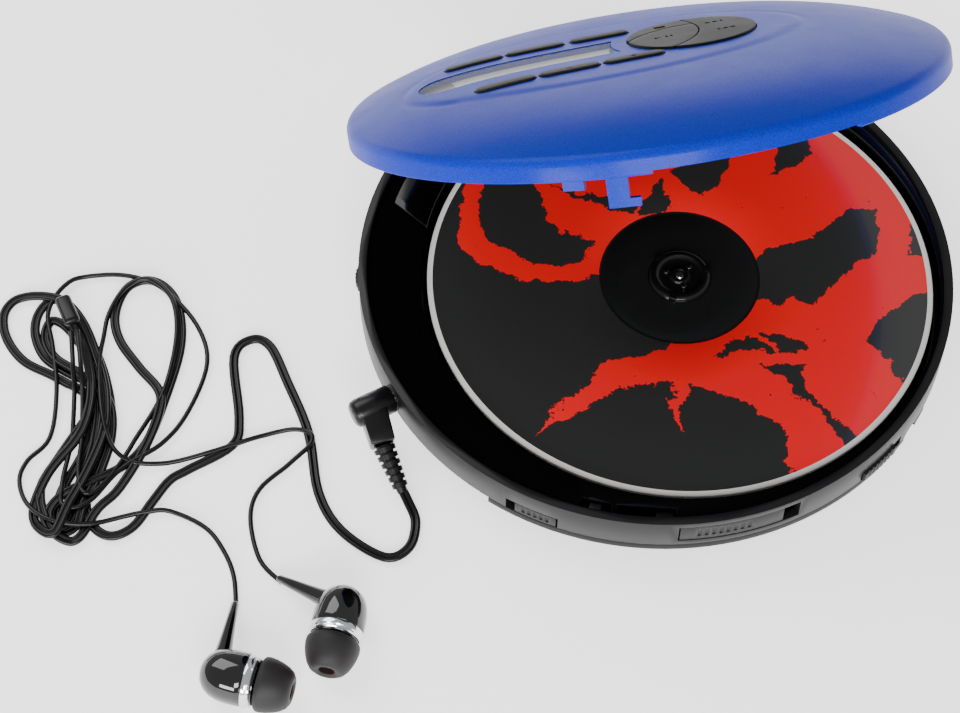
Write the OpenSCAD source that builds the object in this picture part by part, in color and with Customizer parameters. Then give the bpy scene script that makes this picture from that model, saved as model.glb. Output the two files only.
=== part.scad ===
// Portable disc player with its lid open, a disc on the turntable and a pair of earphones plugged in.
// Millimetres. +Z is up, the flat underside is z = 0 at its centre, the latch is at -Y and the hinge at +Y.
// Angles round the case are counted from the front (-Y), positive towards +X.

/* [Case] */
// Diameter of the base over its side wall
base_d = 140.6; // [125:0.2:170]
// Height of the base from its underside to its rim
base_h = 16.4; // [15.6:0.1:24]
// Thickness of the side wall
wall = 2.0; // [1.6:0.1:2.4]
// Thickness of the bottom, the deck and the well floor
skin = 1.3; // [1:0.1:1.6]
// Height of the joint between the bottom case and the deck case
seam_z = 7.2; // [6.6:0.1:8]
// How far the rim stands above the deck
rim_step = 1.5; // [1:0.1:2]

/* [Disc] */
// Diameter of the disc
disc_d = 120; // [80:1:124]
// Thickness of the disc
disc_t = 1.2; // [1:0.1:1.6]
// Bore of the disc
disc_bore = 15; // [12:0.1:18]
// Distance of the spindle to the right of the case's centre
spindle_x = 5.5; // [0:0.1:6]
// Distance of the spindle behind the case's centre
spindle_y = -2.5; // [-4:0.1:0]
// Radial room between the disc and the wall of its well
disc_room = 1.6; // [1:0.1:2.4]
// Depth of the disc's upper face below the rim
disc_drop = 3.2; // [2.8:0.1:4]
// Radial clearance of the hub in the disc
hub_gap = 0.08; // [0.05:0.01:0.1]

/* [Lid] */
// How far the lid stands in from the base's side, as a radius
lid_inset = 2.1; // [1.5:0.1:3]
// Height of the lid's skirt below the dome
skirt_h = 5.4; // [4.5:0.1:7]
// Rise of the dome above the skirt
dome_h = 6.9; // [5:0.1:9]
// Thickness of the lid's shell
lid_wall = 1.6; // [1.2:0.1:2]
// Gap between the closed lid and the rim
lid_gap = 0.4; // [0.3:0.05:1]
// Angle that the lid stands open at rest
lid_open = 39.5; // [0:0.5:70]
// Radius of the hinge pins
hinge_pin_r = 1.0; // [0.8:0.05:1.3]

/* [Keys] */
// Radius of the round key cluster
key_r = 14.5; // [12:0.1:16]
// Width of a bar button
bar_w = 4.0; // [3:0.1:5]
// Length of a bar button
bar_l = 13.6; // [10:0.1:14]
// Gap round each key
key_gap = 0.3; // [0.2:0.05:0.4]
// Height of the keys above the lid
key_rise = 0.6; // [0.3:0.1:1.2]

/* [Mechanism] */
// Diameter of the spindle motor
motor_d = 21; // [18:0.5:24]
// Radius of the spindle shaft
shaft_r = 1.0; // [0.8:0.05:1.5]
// Radius of the guide rods
rod_r = 1.0; // [0.8:0.05:1.3]
// Distance between the guide rods
rod_span = 27; // [25:0.5:30]
// Radial clearance of shafts and rods in their bearings
run_gap = 0.05; // [0.02:0.01:0.1]
// Travel of the pickup from the inner to the outer track
pickup_travel = 32.5; // [20:0.5:33]
// Module of the feed gears
gear_m = 0.6; // [0.5:0.05:0.7]
// Turn of the battery bay and the mechanism about the upright axis
bay_turn = 34.6; // [30:0.5:38]

/* [Battery] */
// Length of a flat rechargeable cell
cell_l = 48; // [40:1:50]
// Width of a cell
cell_w = 17; // [14:0.5:17.5]
// Thickness of a cell
cell_t = 5.8; // [5:0.1:6]

/* [Sockets and sliders] */
// Radius of a plug pin
pin_r = 1.75; // [1.25:0.05:1.8]
// Height of the earphone socket's axis above the underside of the well floor
jack_up = 2.4; // [2:0.1:2.6]
// Direction of the earphone socket
jack_a = -75; // [-80:1:-70]
// Direction of the line socket
line_a = 42; // [40:1:50]
// Radius of the volume wheel
wheel_r = 6.6; // [5.5:0.1:7]
// Height of the volume wheel above the wall's curve
wheel_proud = 0.9; // [0.4:0.1:1.2]

/* [Hidden] */
$fn = 72;
eps = 0.01;
far = 200;

// Base levels and radii
base_r = base_d / 2;
in_r = base_r - wall;
flat_r = base_r - 10;
lower_r = base_r - 0.7;
rim_z = base_h;
deck_z = rim_z - rim_step;
disc_z = rim_z - disc_drop - disc_t;
floor_z = disc_z - 2.2;
inside_z = floor_z - skin;
under_deck = deck_z - skin;
well_r = disc_d / 2 + disc_room;
well_wall = 1.2;
part_gap = 0.3;

// Lid, drawn closed and then turned about its hinge
lid_r = base_r - lid_inset;
lid_z = rim_z + lid_gap;
crown_r = 2.5;
crown_a = 66;
dome_pow = 4.2;
dome_z = lid_z + skirt_h;
dome_r = lid_r - crown_r * (1 - cos(crown_a));
top_z = dome_z + dome_h;
hinge_y = base_r - 2.8;
hinge_z = rim_z - 1.4;
recess_w = 20;
lug_w = 14.2;
lug_r = 2.3;
recess_z = hinge_z - lug_r - 0.5;

// Latch and lid switch, as angles on the front wall
hook_r0 = in_r - 2.4;
hook_r1 = in_r - 0.9;
hook_a = [-21.7, -17.9];
barb_a = -16.0;
catch_a = [-15.6, -12.2];
tab_a = [-29.4, -25.6];
hook_z = rim_z - 6.0;
tab_z = rim_z - 1.7;
plunger_a = -27.4;
plunger_r = in_r - 1.9;
barb_h = 1.8;
latch_slots = [[-30.4, -24.4], [-23.2, -11.7]];
open_a = [-11.1, 8.6];
open_slot = [-11.4, 11.9];
open_z = [rim_z - 7.2, rim_z - 1.8];
hold_a = [-42.3, -34.1];
hold_slot = [-44.2, -33.7];
hold_top = seam_z + 4.0;
tone_a = [26.9, 35.7];
tone_slot = [26.5, 38.1];
tone_top = seam_z + 3.4;
wheel_a = -103.5;
wheel_c = base_r + wheel_proud - wheel_r;
wheel_z = [floor_z, floor_z + 2.2];

// Keys and display on the lid
key_x = 12;
play_r = key_r * 17 / 14.5;
play_c = in_cluster(-0.034, -0.62);
split_r = key_r * 22.6 / 14.5;
split_c = in_cluster(-1.38, 0.414);
seam_gap = 0.35;
bar_y = 14;
upper_x = [-35.9, -21.4, -6.2];
lower_x = [-34.0, -19.5, -4.9];
display_x0 = -51;
display_y = [-5, 7.2];
display_end_r = 6.1;
display_bite_r = key_r + 4;
notch_a = [-13.5, 26];
lens_sink = 0.15;
board_top = dome_top(46) - 3.2;
key_press = 0.7;
rock_r = 0.8;
rock_z = top_z - lid_wall - 1.2;

// Mechanism, in a frame turned with the bay and centred on the case
mech_x = spindle_x * cos(bay_turn) + spindle_y * sin(bay_turn);
mech_y = -spindle_x * sin(bay_turn) + spindle_y * cos(bay_turn);
plate_z = inside_z - 1.7;
plate_t = 0.8;
rod_z = plate_z - 1.9;
sled_in = 25;
sled_x = mech_x - sled_in;
sled_l = 10;
lens_out = sled_in + pickup_travel;
rod_end = lens_out + sled_l / 2 + 1.6;
bay_y0 = 22.9;
bay_half = cell_l / 2 + 2.2;
door_half = 27.3;
door_y0 = 22.2;
door_r = base_r - 5.2;
boss_at = [[-20, 62.5], [66, 62.5], [140, 62], [-176, 60]];
post_at = [[-43.5, -18], [-43.5, 18], [27.5, -18], [27.5, 18]];
board_z = 3.0;
board_t = 1.0;
gear_z = rod_z - 3.2;
gear_t = 1.1;
pinion_n = 12;
feed_n = 30;
motor_n = 10;
tooth_slack = 0.12;
rack_y = mech_y - rod_span / 2 - 2.8 - 1.1 * gear_m;
feed_x = sled_x - 3;
pinion_pitch = gear_m * pinion_n / 2;
feed_y = rack_y - pinion_pitch - 0.02;
pinion_x = feed_x + gear_m * (feed_n + motor_n) / 2 + 0.05;

// Sockets
jack_in = base_r - 13.5;
jack_half = 3.0;
jack_z = inside_z + jack_up;
line_z = inside_z - 2.9;

// Earphones
cord_w = 1.2;
barrel_r = 3.4;
plug_len = 10;
arm_end = [-72.5, -28.5, 8];
relief_end = [-70.5, -37.5, 3];
bud_r = 6;
tip_r = 6.1;
nozzle_r = 2.2;
left_bud = [[-113.2, -79.2, tip_r], -28];
right_bud = [[-93, -72.3, tip_r], -114.8];
bud_neck = [[[-117, -73.5, 5.6], [-113, -57.5, 1.2]], [[-92.5, -65, 5.6], [-102, -53.5, 1.2]]];

// Routes of the cord as it lies: first the twin lead, then the two single wires
twin_route = [
  [-70.7, -36.8, 3.3], [-69.5, -41, 1.5], [-69, -46, 0.6], [-72, -52, 0.6], [-78, -53, 0.6], [-86, -44, 0.6],
  [-89, -33, 0.6], [-88, -17, 0.6], [-90, -2, 0.6], [-92, 9, 0.6], [-96, 12, 0.6], [-101, 8, 0.6],
  [-103, -9, 0.6], [-106, -16, 0.6], [-117, -20, 0.6], [-125, -24, 0.6], [-130, -31, 0.6],
  [-136, -33, 0.6], [-140, -28, 0.6]
];
left_route = [
  [-141, -27.5, 0.6], [-134, -29, 1.2], [-129, -29, 1.95], [-123, -30, 1.2], [-116, -36, 0.6],
  [-113, -43, 0.6], [-112, -50, 0.6], [-113, -58, 1.2]
];
right_route = [
  [-123, -17, 0.6], [-114, -17, 1], [-105, -16, 1.95], [-98, -15, 1.1], [-92, -15, 1.4], [-88, -17, 1.95],
  [-88, -20, 1.95], [-94, -24, 0.9], [-102, -29, 0.6], [-105.5, -36, 0.6], [-105.5, -47, 0.6], [-101.8, -54, 1.3]
];

// Direction helpers
function around(r, a) = [r * sin(a), -r * cos(a)];
function in_cluster(x, y) = [key_x + x * key_r, y * key_r];
function dome_top(r) = dome_z + dome_h * (1 - pow(min(r, dome_r) / dome_r, dome_pow));

// A slice of a ring between two radii, two angles and two heights.
module ring_sector(r0, r1, a, z) {
  intersection() {
    translate([0, 0, z[0]]) difference() {
      cylinder(r = r1, h = z[1] - z[0]);
      translate([0, 0, -1]) cylinder(r = r0, h = z[1] - z[0] + 2);
    }
    translate([0, 0, z[0] - 1]) linear_extrude(z[1] - z[0] + 2)
      polygon(concat([[0, 0]], [for (i = [0:4]) around(far, a[0] + (a[1] - a[0]) * i / 4)]));
  }
}

module tube_z(r0, r1, z0, z1) {
  translate([0, 0, z0]) difference() {
    cylinder(r = r1, h = z1 - z0);
    translate([0, 0, -1]) cylinder(r = r0, h = z1 - z0 + 2);
  }
}

module block(x, y, z) {
  translate([x[0], y[0], z[0]]) cube([x[1] - x[0], y[1] - y[0], z[1] - z[0]]);
}

module in_bay() { rotate([0, 0, bay_turn]) children(); }
module at_spindle() { translate([spindle_x, spindle_y, 0]) children(); }
module at_angle(a) { rotate([0, 0, a]) children(); }

module opened() {
  translate([0, hinge_y, hinge_z]) rotate([-lid_open, 0, 0]) translate([0, -hinge_y, -hinge_z]) children();
}

// Stadium outline, grown on every side.
module bar_outline(l, w, grow) {
  half = l / 2 - w / 2;
  square([2 * half, w + 2 * grow], center = true);
  for (s = [-1, 1]) translate([s * half, 0]) circle(r = w / 2 + grow, $fn = 32);
}

// A shell of the dome between two offsets from its outer face.
module dome_slab(low, high) {
  n = 10;
  r = [for (i = [0:n]) dome_r * i / n];
  rotate_extrude($fn = 96) polygon(concat(
    [for (v = r) [v, dome_top(v) + low]],
    [for (i = [n:-1:0]) [r[i], dome_top(r[i]) + high]]));
}

// Plan of the battery door, in the bay's own frame.
module door_plan(grow) {
  intersection() {
    circle(r = door_r + grow, $fn = 96);
    translate([-door_half - grow, door_y0 - grow]) square([2 * (door_half + grow), far]);
  }
}

// ---- Base ----

module bottom_case() color("#17181b") {
  steps = 6;
  difference() {
    union() {
      rotate_extrude($fn = 96) polygon(concat(
        [[0, skin], [0, 0]],
        [for (i = [0:steps]) [flat_r + (lower_r - flat_r) * sin(90 * i / steps),
                              seam_z * (1 - cos(90 * i / steps))]],
        [for (i = [steps:-1:0]) [flat_r + (lower_r - wall - flat_r) * sin(90 * i / steps),
                                 skin + (seam_z - skin) * (1 - cos(90 * i / steps))]]));
      ring_sector(lower_r - 1.2, base_r, [-48, 48], [seam_z - 2, seam_z]);
      for (b = boss_at) translate(around(b[1], b[0])) cylinder(r = 3.4, h = 3.8, $fn = 32);
      // Ribs round the battery bay
      intersection() {
        in_bay() difference() {
          block([-bay_half - 1, bay_half + 1], [bay_y0 - 1, 61], [skin / 2, inside_z - 0.2]);
          block([-bay_half, bay_half], [bay_y0, 59.6], [skin / 2 - 1, inside_z + 1]);
        }
        cylinder(r = flat_r + 4.4, h = far);
      }
      // Seats of the main board
      for (p = [[-8, -34], [36, -34], [-20, -50]]) in_bay() translate([p[0], p[1], skin / 2])
        cylinder(r = 1.8, h = board_z - skin / 2, $fn = 32);
    }
    for (b = boss_at) translate(around(b[1], b[0])) {
      translate([0, 0, -1]) cylinder(r = 2.4, h = 3.2, $fn = 32);
      translate([0, 0, -1]) cylinder(r = 1.15, h = 8, $fn = 32);
    }
    for (a = [45, 135, 225, 315]) translate(concat(around(flat_r - 8, a), [-1])) cylinder(r = 4.1, h = 1.6);
    // Mouth of the line socket
    at_angle(line_a) translate([0, -lower_r + 6, line_z]) rotate([90, 0, 0]) cylinder(r = 2.7, h = 20);
  }
}

module deck_case() color("#101114") {
  difference() {
    union() {
      tube_z(in_r, base_r, seam_z + 0.1, rim_z);
      difference() {
        translate([0, 0, under_deck]) cylinder(r = in_r + wall / 4, h = skin);
        at_spindle() translate([0, 0, under_deck - 1]) cylinder(r = well_r, h = skin + 2);
      }
      intersection() {
        at_spindle() union() {
          tube_z(well_r, well_r + well_wall, inside_z, deck_z);
          translate([0, 0, inside_z]) cylinder(r = well_r + well_wall, h = skin);
        }
        cylinder(r = in_r + wall / 4, h = far);
      }
      // Thick place in the well's wall behind the earphone socket
      at_angle(jack_a) block([-4.2, 4.2], [-jack_in - 0.8, -jack_in + 0.9], [inside_z + skin / 2, deck_z - skin / 2]);
      // Screw posts
      for (b = boss_at) translate(concat(around(b[1], b[0]), [3.9]))
        cylinder(r = 2.6, h = inside_z - 3.9 + 0.2, $fn = 32);
      // Floor of the hinge recess
      block([-recess_w - 1, recess_w + 1], [hinge_y - 4, hinge_y - 1.2], [recess_z - skin, recess_z]);
      block([-recess_w - 1, -lug_w + 1], [hinge_y - 4, hinge_y + 0.3], [recess_z - skin, recess_z]);
      block([lug_w - 1, recess_w + 1], [hinge_y - 4, hinge_y + 0.3], [recess_z - skin, recess_z]);
    }
    for (b = boss_at) translate(concat(around(b[1], b[0]), [3])) cylinder(r = 1.0, h = 4.6, $fn = 32);
    // Hinge recess
    difference() {
      block([-recess_w, recess_w], [hinge_y - 2.9, far], [recess_z, far]);
      hinge_lug();
    }
    // Latch slots
    for (a = latch_slots) ring_sector(in_r - 3.1, in_r - 0.2, a, [under_deck - 0.4, deck_z + 1]);
    // Slots of the sliders in the wall
    ring_sector(in_r - part_gap, far / 2, open_slot, [open_z[0] - 0.2, open_z[1] + 0.2]);
    ring_sector(in_r - part_gap, far / 2, hold_slot, [seam_z - 1, hold_top]);
    ring_sector(in_r - part_gap, far / 2, tone_slot, [seam_z - 1, tone_top]);
    // Slot of the volume wheel
    at_angle(wheel_a) translate([0, -wheel_c, wheel_z[0] - part_gap])
      cylinder(r = wheel_r + 0.35, h = wheel_z[1] - wheel_z[0] + 2 * part_gap);
    // Earphone socket, its mouth and its pocket
    at_angle(jack_a) {
      translate([0, -in_r + 1, jack_z]) rotate([90, 0, 0]) cylinder(r = 3.1, h = 10);
      block([-jack_half - 0.1, jack_half + 0.1], [-in_r - 0.1, -jack_in - 0.1], [inside_z - 1, under_deck + eps]);
    }
    // Mouth of the line socket
    at_angle(line_a) translate([0, -in_r + 1, line_z]) rotate([90, 0, 0]) cylinder(r = 2.7, h = 10);
    // Openings over the spindle, the pickup and the battery bay
    at_spindle() translate([0, 0, inside_z - 1]) cylinder(r = 17.5, h = skin + 2);
    in_bay() block([mech_x - lens_out - 2.6, mech_x - 10], [mech_y - 6.5, mech_y + 6.5],
                   [inside_z - 1, floor_z + 1]);
    in_bay() translate([0, 0, inside_z - 1]) linear_extrude(far) door_plan(0.25);
  }
  difference() {
    hinge_lug();
    translate([-lug_w - 1, hinge_y, hinge_z]) rotate([0, 90, 0]) cylinder(r = hinge_pin_r, h = 2 * lug_w + 2);
  }
}

// Middle knuckle of the hinge, standing in the recess.
module hinge_lug() {
  translate([-lug_w, hinge_y, hinge_z]) rotate([0, 90, 0]) cylinder(r = lug_r, h = 2 * lug_w);
  block([-lug_w, lug_w], [hinge_y - 1.2, hinge_y + 1], [recess_z - skin, hinge_z]);
}

module case_screws() color("#8b8d90") for (b = boss_at) translate(around(b[1], b[0])) difference() {
  union() {
    translate([0, 0, 0.9]) cylinder(r = 2.1, h = 1.3, $fn = 32);
    translate([0, 0, 2.1]) cylinder(r = 0.95, h = 5.2, $fn = 32);
  }
  for (t = [0, 90]) rotate([0, 0, t]) block([-1.3, 1.3], [-0.25, 0.25], [0, 1.5]);
}

module rubber_feet() color("#0c0c0c") for (a = [45, 135, 225, 315]) translate(around(flat_r - 8, a))
  cylinder(r = 4.0, h = 0.6);

module battery_door() color("#14161b") intersection() {
  in_bay() linear_extrude(far) door_plan(0);
  union() {
    difference() {
      translate([0, 0, under_deck]) cylinder(r = door_r, h = deck_z + 0.3 - under_deck);
      at_spindle() cylinder(r = well_r, h = far);
    }
    at_spindle() tube_z(well_r, well_r + well_wall, inside_z, deck_z);
    at_spindle() translate([0, 0, inside_z]) cylinder(r = well_r + well_wall, h = skin);
  }
}

module battery_cells() color("#2f6f58") in_bay() for (i = [0, 1]) translate([0, bay_y0 + 0.4 + i * (cell_w + 0.4), 0]) {
  block([-cell_l / 2, cell_l / 2 - 1], [0, cell_w], [skin + 0.4, skin + 0.4 + cell_t]);
  block([cell_l / 2 - 1 - eps, cell_l / 2], [cell_w / 2 - 3, cell_w / 2 + 3], [skin + 1.2, skin + cell_t - 1]);
}

// Leaf contacts at the ends of the bay.
module battery_contacts() color("#c9b37a") in_bay() for (i = [0, 1], s = [-1, 1])
  translate([0, bay_y0 + 0.4 + i * (cell_w + 0.4) + cell_w / 2, 0]) {
    x = s * (bay_half - 0.15);
    block([x - 0.15, x + 0.15], [-5, 5], [skin + 0.4, skin + cell_t]);
    tip = s * (cell_l / 2 + 0.35);
    block([min(x, tip), max(x, tip)], [-2, 2], [skin + 2.4, skin + 2.8]);
    block([tip - 0.2, tip + 0.2], [-2, 2], [skin + 1.6, skin + 4.2]);
  }

module main_board() color("#1f5a3a") difference() {
  intersection() {
    translate([0, 0, board_z]) cylinder(r = flat_r + 1.5, h = board_t);
    in_bay() block([-far, far], [-far, feed_y - 5.3], [0, far]);
  }
  for (b = boss_at) translate(around(b[1], b[0])) cylinder(r = 3.9, h = far, $fn = 32);
  at_angle(line_a) block([-jack_half - 0.3, jack_half + 0.3], [-far, -lower_r + 17.3], [0, far]);
}

module side_board() color("#1f5a3a") ring_sector(base_r - 13, in_r - 2.6, [-112, -72], [inside_z - 1.6, inside_z - 0.8]);

module board_chips() color("#1b1b1b") in_bay() {
  z = board_z + board_t;
  block([-6, 8], [-46, -32], [z, z + 1.4]);
  block([14, 24], [-48, -38], [z, z + 1.2]);
  block([25.5, 33.5], [-46, -40], [z, z + 1.2]);
  for (p = [[-20, -38], [-26, -44], [18, -34.5], [30, -36.5]]) translate([p[0], p[1], z]) cylinder(r = 2, h = 2.4, $fn = 32);
  block([41, 46], [-37, -33], [z, z + 1.8]);
}

module earphone_jack() color("#26272a") at_angle(jack_a) difference() {
  union() {
    block([-jack_half, jack_half], [-in_r, -jack_in - 0.1], [inside_z - 0.8, jack_z + 2.6]);
    translate([0, -in_r, jack_z]) rotate([90, 0, 0]) cylinder(r = 2.9, h = wall - 0.1);
  }
  translate([0, -jack_in - 0.5, jack_z]) rotate([90, 0, 0]) cylinder(r = pin_r + run_gap, h = 20);
}

module line_jack() color("#26272a") at_angle(line_a) difference() {
  union() {
    block([-jack_half, jack_half], [-lower_r + 4.4, -lower_r + 17], [line_z - 2.6, line_z + 2.6]);
    block([-jack_half, jack_half], [-flat_r + 1, -lower_r + 17], [skin, line_z]);
    translate([0, -lower_r + 4.4 + eps, line_z]) rotate([90, 0, 0]) cylinder(r = 2.6, h = 3);
  }
  translate([0, -lower_r + 16, line_z]) rotate([90, 0, 0]) cylinder(r = pin_r + run_gap, h = 30);
}

// Small switch boxes worked by the two sliders and by the lid's plunger.
module switch_bodies() color("#3a3b3e") {
  ring_sector(in_r - 6.5, in_r - 2.2, [-41.5, -35], [plate_z + plate_t + 0.1, under_deck]);
  ring_sector(in_r - 10, in_r - 5, [28, 35], [board_z + board_t, seam_z - 0.2]);
  difference() {
    ring_sector(in_r - 4.2, in_r, [-29.8, -25], [rim_z - 9, rim_z - 5]);
    translate(around(plunger_r, plunger_a)) translate([0, 0, rim_z - 8.7]) cylinder(r = 0.75, h = 9, $fn = 32);
  }
}

module volume_pot() color("#3a3b3e") at_angle(wheel_a) translate([0, -wheel_c, 0]) {
  translate([0, 0, inside_z - 0.8]) {
    cylinder(r = 3.3, h = wheel_z[0] - part_gap - inside_z + 0.8);
    cylinder(r = shaft_r, h = wheel_z[1] - 0.2 - inside_z + 0.8);
  }
}

// ---- Mechanism ----

module mech_chassis() color("#9a9c9e") in_bay() difference() {
  union() {
    block([mech_x - rod_end, mech_x + 17], [mech_y - 19, mech_y + 18.5], [plate_z, plate_z + plate_t]);
    block([feed_x - 5, pinion_x + 5], [feed_y - 4, mech_y - 18], [plate_z, plate_z + plate_t]);
    // Post of the feed gear
    translate([feed_x, feed_y, rod_z - 3.1]) cylinder(r = shaft_r, h = plate_z - rod_z + 3.2);
    // Rod brackets
    for (x = [mech_x - rod_end, mech_x - 14.2], s = [-1, 1])
      block([x, x + 1.2], [mech_y + s * rod_span / 2 - 1.6, mech_y + s * rod_span / 2 + 1.6],
            [rod_z - 1.8, plate_z + eps]);
  }
  block([mech_x - rod_end + 2.2, mech_x - 15.5], [mech_y - 10.9, mech_y + 10.9], [plate_z - 1, plate_z + 2]);
  translate([mech_x, mech_y, plate_z - 1]) cylinder(r = 3.2, h = 4);
  for (s = [-1, 1]) translate([mech_x - 70, mech_y + s * rod_span / 2, rod_z]) rotate([0, 90, 0])
    cylinder(r = rod_r, h = 70);
}

damper_at = [[-10, -16.4], [14, 15.5], [-52, 15]];
module dampers() color("#222222") in_bay() for (p = damper_at) translate([mech_x + p[0], mech_y + p[1], 0])
  tube_z(1, 2.4, plate_z + plate_t, inside_z);

module spindle_motor() color("#b5b7b9") at_spindle() difference() {
  union() {
    translate([0, 0, plate_z - 4.2]) cylinder(d = motor_d, h = 4.2);
    translate([0, 0, plate_z - eps]) cylinder(r = 3.2, h = plate_t + 1);
  }
  cylinder(r = shaft_r + run_gap, h = far);
}

module turntable() color("#1a1a1c") at_spindle() {
  translate([0, 0, plate_z - 3.8]) cylinder(r = shaft_r, h = rim_z - plate_z + 1);
  difference() {
    translate([0, 0, disc_z - 1.1]) cylinder(r = 12.3, h = 1.1);
    block([-1.5, 1.5], [-13, -9.5], [disc_z - 2, disc_z + 1]);
  }
  translate([0, 0, plate_z + plate_t + 1.3]) cylinder(r = 5, h = disc_z - plate_z - plate_t - 1.4);
  rotate_extrude($fn = 64) polygon([
    [0, disc_z - 0.5], [disc_bore / 2 - hub_gap, disc_z - 0.5], [disc_bore / 2 - hub_gap, disc_z + disc_t],
    [disc_bore / 2 - 1.2, disc_z + disc_t + 1.1], [2, disc_z + disc_t + 1.4], [0, disc_z + disc_t + 1.4]]);
}

module disc() color("#c33a2c") at_spindle() difference() {
  translate([0, 0, disc_z]) cylinder(d = disc_d, h = disc_t, $fn = 128);
  cylinder(d = disc_bore, h = far);
}

// Straight-sided rack teeth along X, half a pitch each side of x = 0. The pitch line is y = 0.
module rack_teeth(left, right) {
  p = PI * gear_m;
  half = 0.25 * p - tooth_slack;
  for (i = [-left:right]) translate([(i + 0.5) * p, 0]) polygon([
    [-half - 0.4 * gear_m, 1.12 * gear_m], [-half + 0.29 * gear_m, -0.8 * gear_m],
    [half - 0.29 * gear_m, -0.8 * gear_m], [half + 0.4 * gear_m, 1.12 * gear_m]]);
}

// A spur gear with one tooth on +X.
module spur(n, h) {
  root = gear_m * (n / 2 - 1.05);
  tip = gear_m * (n / 2 + 0.8);
  half = 0.25 * PI * gear_m - tooth_slack;
  linear_extrude(h) union() {
    circle(r = root, $fn = 48);
    for (i = [0:n - 1]) rotate(i * 360 / n) polygon([
      [root - 0.3, -half - 0.2 * gear_m], [tip, -half + 0.33 * gear_m],
      [tip, half - 0.33 * gear_m], [root - 0.3, half + 0.2 * gear_m]]);
  }
}

module pickup_sled() color("#2c2d30") in_bay() difference() {
  rail_y = rod_span / 2;
  union() {
    block([sled_x - sled_l / 2, sled_x + sled_l / 2], [mech_y - rail_y + 2, mech_y + rail_y - 2],
          [rod_z - 1.6, rod_z + 1.2]);
    for (s = [-1, 1]) block([sled_x - sled_l / 2, sled_x + sled_l / 2],
          [mech_y + s * rail_y - 2.1, mech_y + s * rail_y + 2.1], [rod_z - 1.6, rod_z + 1.6]);
    translate([sled_x, mech_y, rod_z]) cylinder(r = 3.4, h = inside_z - 0.3 - rod_z);
    // Toothed rack that the feed gear drives, on a web beside the rod
    translate([0, 0, rod_z - 1.6]) linear_extrude(1.2) {
      translate([sled_x - sled_l / 2, rack_y + 1.1 * gear_m]) square([sled_l, mech_y - rail_y - 2 - rack_y]);
      translate([sled_x - sled_l / 2, rack_y + 1.1 * gear_m]) square([pickup_travel + sled_l - 0.5, 1]);
      translate([feed_x, rack_y]) rack_teeth(1, floor(pickup_travel / (PI * gear_m)) + 1);
    }
  }
  for (s = [-1, 1]) translate([sled_x - far / 2, mech_y + s * rail_y, rod_z]) rotate([0, 90, 0])
    cylinder(r = rod_r + run_gap, h = far);
  translate([sled_x, mech_y, inside_z - 1.7]) cylinder(r = 2.7, h = 9);
}

module pickup_lens() color("#6d4fb0") in_bay() translate([sled_x, mech_y, inside_z - 1.7]) {
  cylinder(r = 2.7, h = 1.4);
  cylinder(r = 1.7, h = floor_z + 0.4 - inside_z + 1.7);
}

module guide_rods() color("#d5d7d9") in_bay() for (s = [-1, 1])
  translate([mech_x - rod_end, mech_y + s * rod_span / 2, rod_z]) rotate([0, 90, 0])
    cylinder(r = rod_r, h = rod_end - 13);

module feed_gear() color("#e6e2d6") in_bay() translate([feed_x, feed_y, 0]) difference() {
  union() {
    translate([0, 0, gear_z]) spur(feed_n, gear_t);
    translate([0, 0, gear_z + gear_t - eps]) rotate([0, 0, 90]) spur(pinion_n, rod_z - 0.4 - gear_z - gear_t);
  }
  cylinder(r = shaft_r + run_gap, h = far);
}

module feed_motor() color("#b5b7b9") in_bay() translate([pinion_x, feed_y, 0]) {
  translate([0, 0, gear_z + gear_t + 0.1]) cylinder(r = 2.8, h = plate_z - gear_z - gear_t - 0.1);
  translate([0, 0, gear_z]) cylinder(r = shaft_r, h = 2);
}

module motor_pinion() color("#d9b45a") in_bay() translate([pinion_x, feed_y, gear_z]) difference() {
  rotate([0, 0, 180 / motor_n]) spur(motor_n, gear_t);
  translate([0, 0, -1]) cylinder(r = shaft_r + run_gap, h = 9);
}

// ---- Controls on the base ----

module lid_plunger() color("#55565a") {
  at_angle(plunger_a) block([-1.3, 1.3], [-plunger_r - 0.7, -plunger_r + 0.7], [tab_z - 1.7, tab_z - part_gap]);
  translate(around(plunger_r, plunger_a)) translate([0, 0, rim_z - 7.2]) cylinder(r = 0.7, h = 5, $fn = 32);
}

module open_slider() color("#3d3e40") {
  flange = [catch_a[0], open_a[1] + 1.8];
  difference() {
    ring_sector(in_r + 0.05, base_r - 0.1, open_a, [open_z[0] + 0.05, open_z[1] - 0.05]);
    // Grip grooves
    for (i = [0:7]) translate(around(base_r + 0.15, open_a[0] + 3.6 + 1.35 * i)) translate([0, 0, open_z[0] + 1.4])
      cylinder(r = 0.5, h = 2.6, $fn = 24);
  }
  ring_sector(in_r - 0.6, in_r + 0.2, open_a, [open_z[0] + 0.3, under_deck - 0.4]);
  ring_sector(in_r - 1.4, in_r - part_gap, flange, [open_z[0] + 0.3, under_deck - part_gap]);
  // Catch over the barb of the lid's hook
  ring_sector(in_r - 3.0, in_r - part_gap, catch_a, [hook_z + barb_h + 0.2, under_deck - part_gap]);
}

module hold_slider() color("#46474a") {
  z = [seam_z + 0.25, hold_top - 0.25];
  difference() {
    ring_sector(in_r - 0.5, base_r - 0.05, hold_a, z);
    for (i = [0:4]) translate(around(base_r + 0.15, hold_a[0] + 1.7 + 1.2 * i)) translate([0, 0, z[0] + 0.8])
      cylinder(r = 0.45, h = 2, $fn = 24);
  }
  ring_sector(in_r - 1.6, in_r - part_gap, [hold_a[0] - 0.8, hold_a[1] + 0.8], [z[0], hold_top + 0.8]);
}

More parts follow.
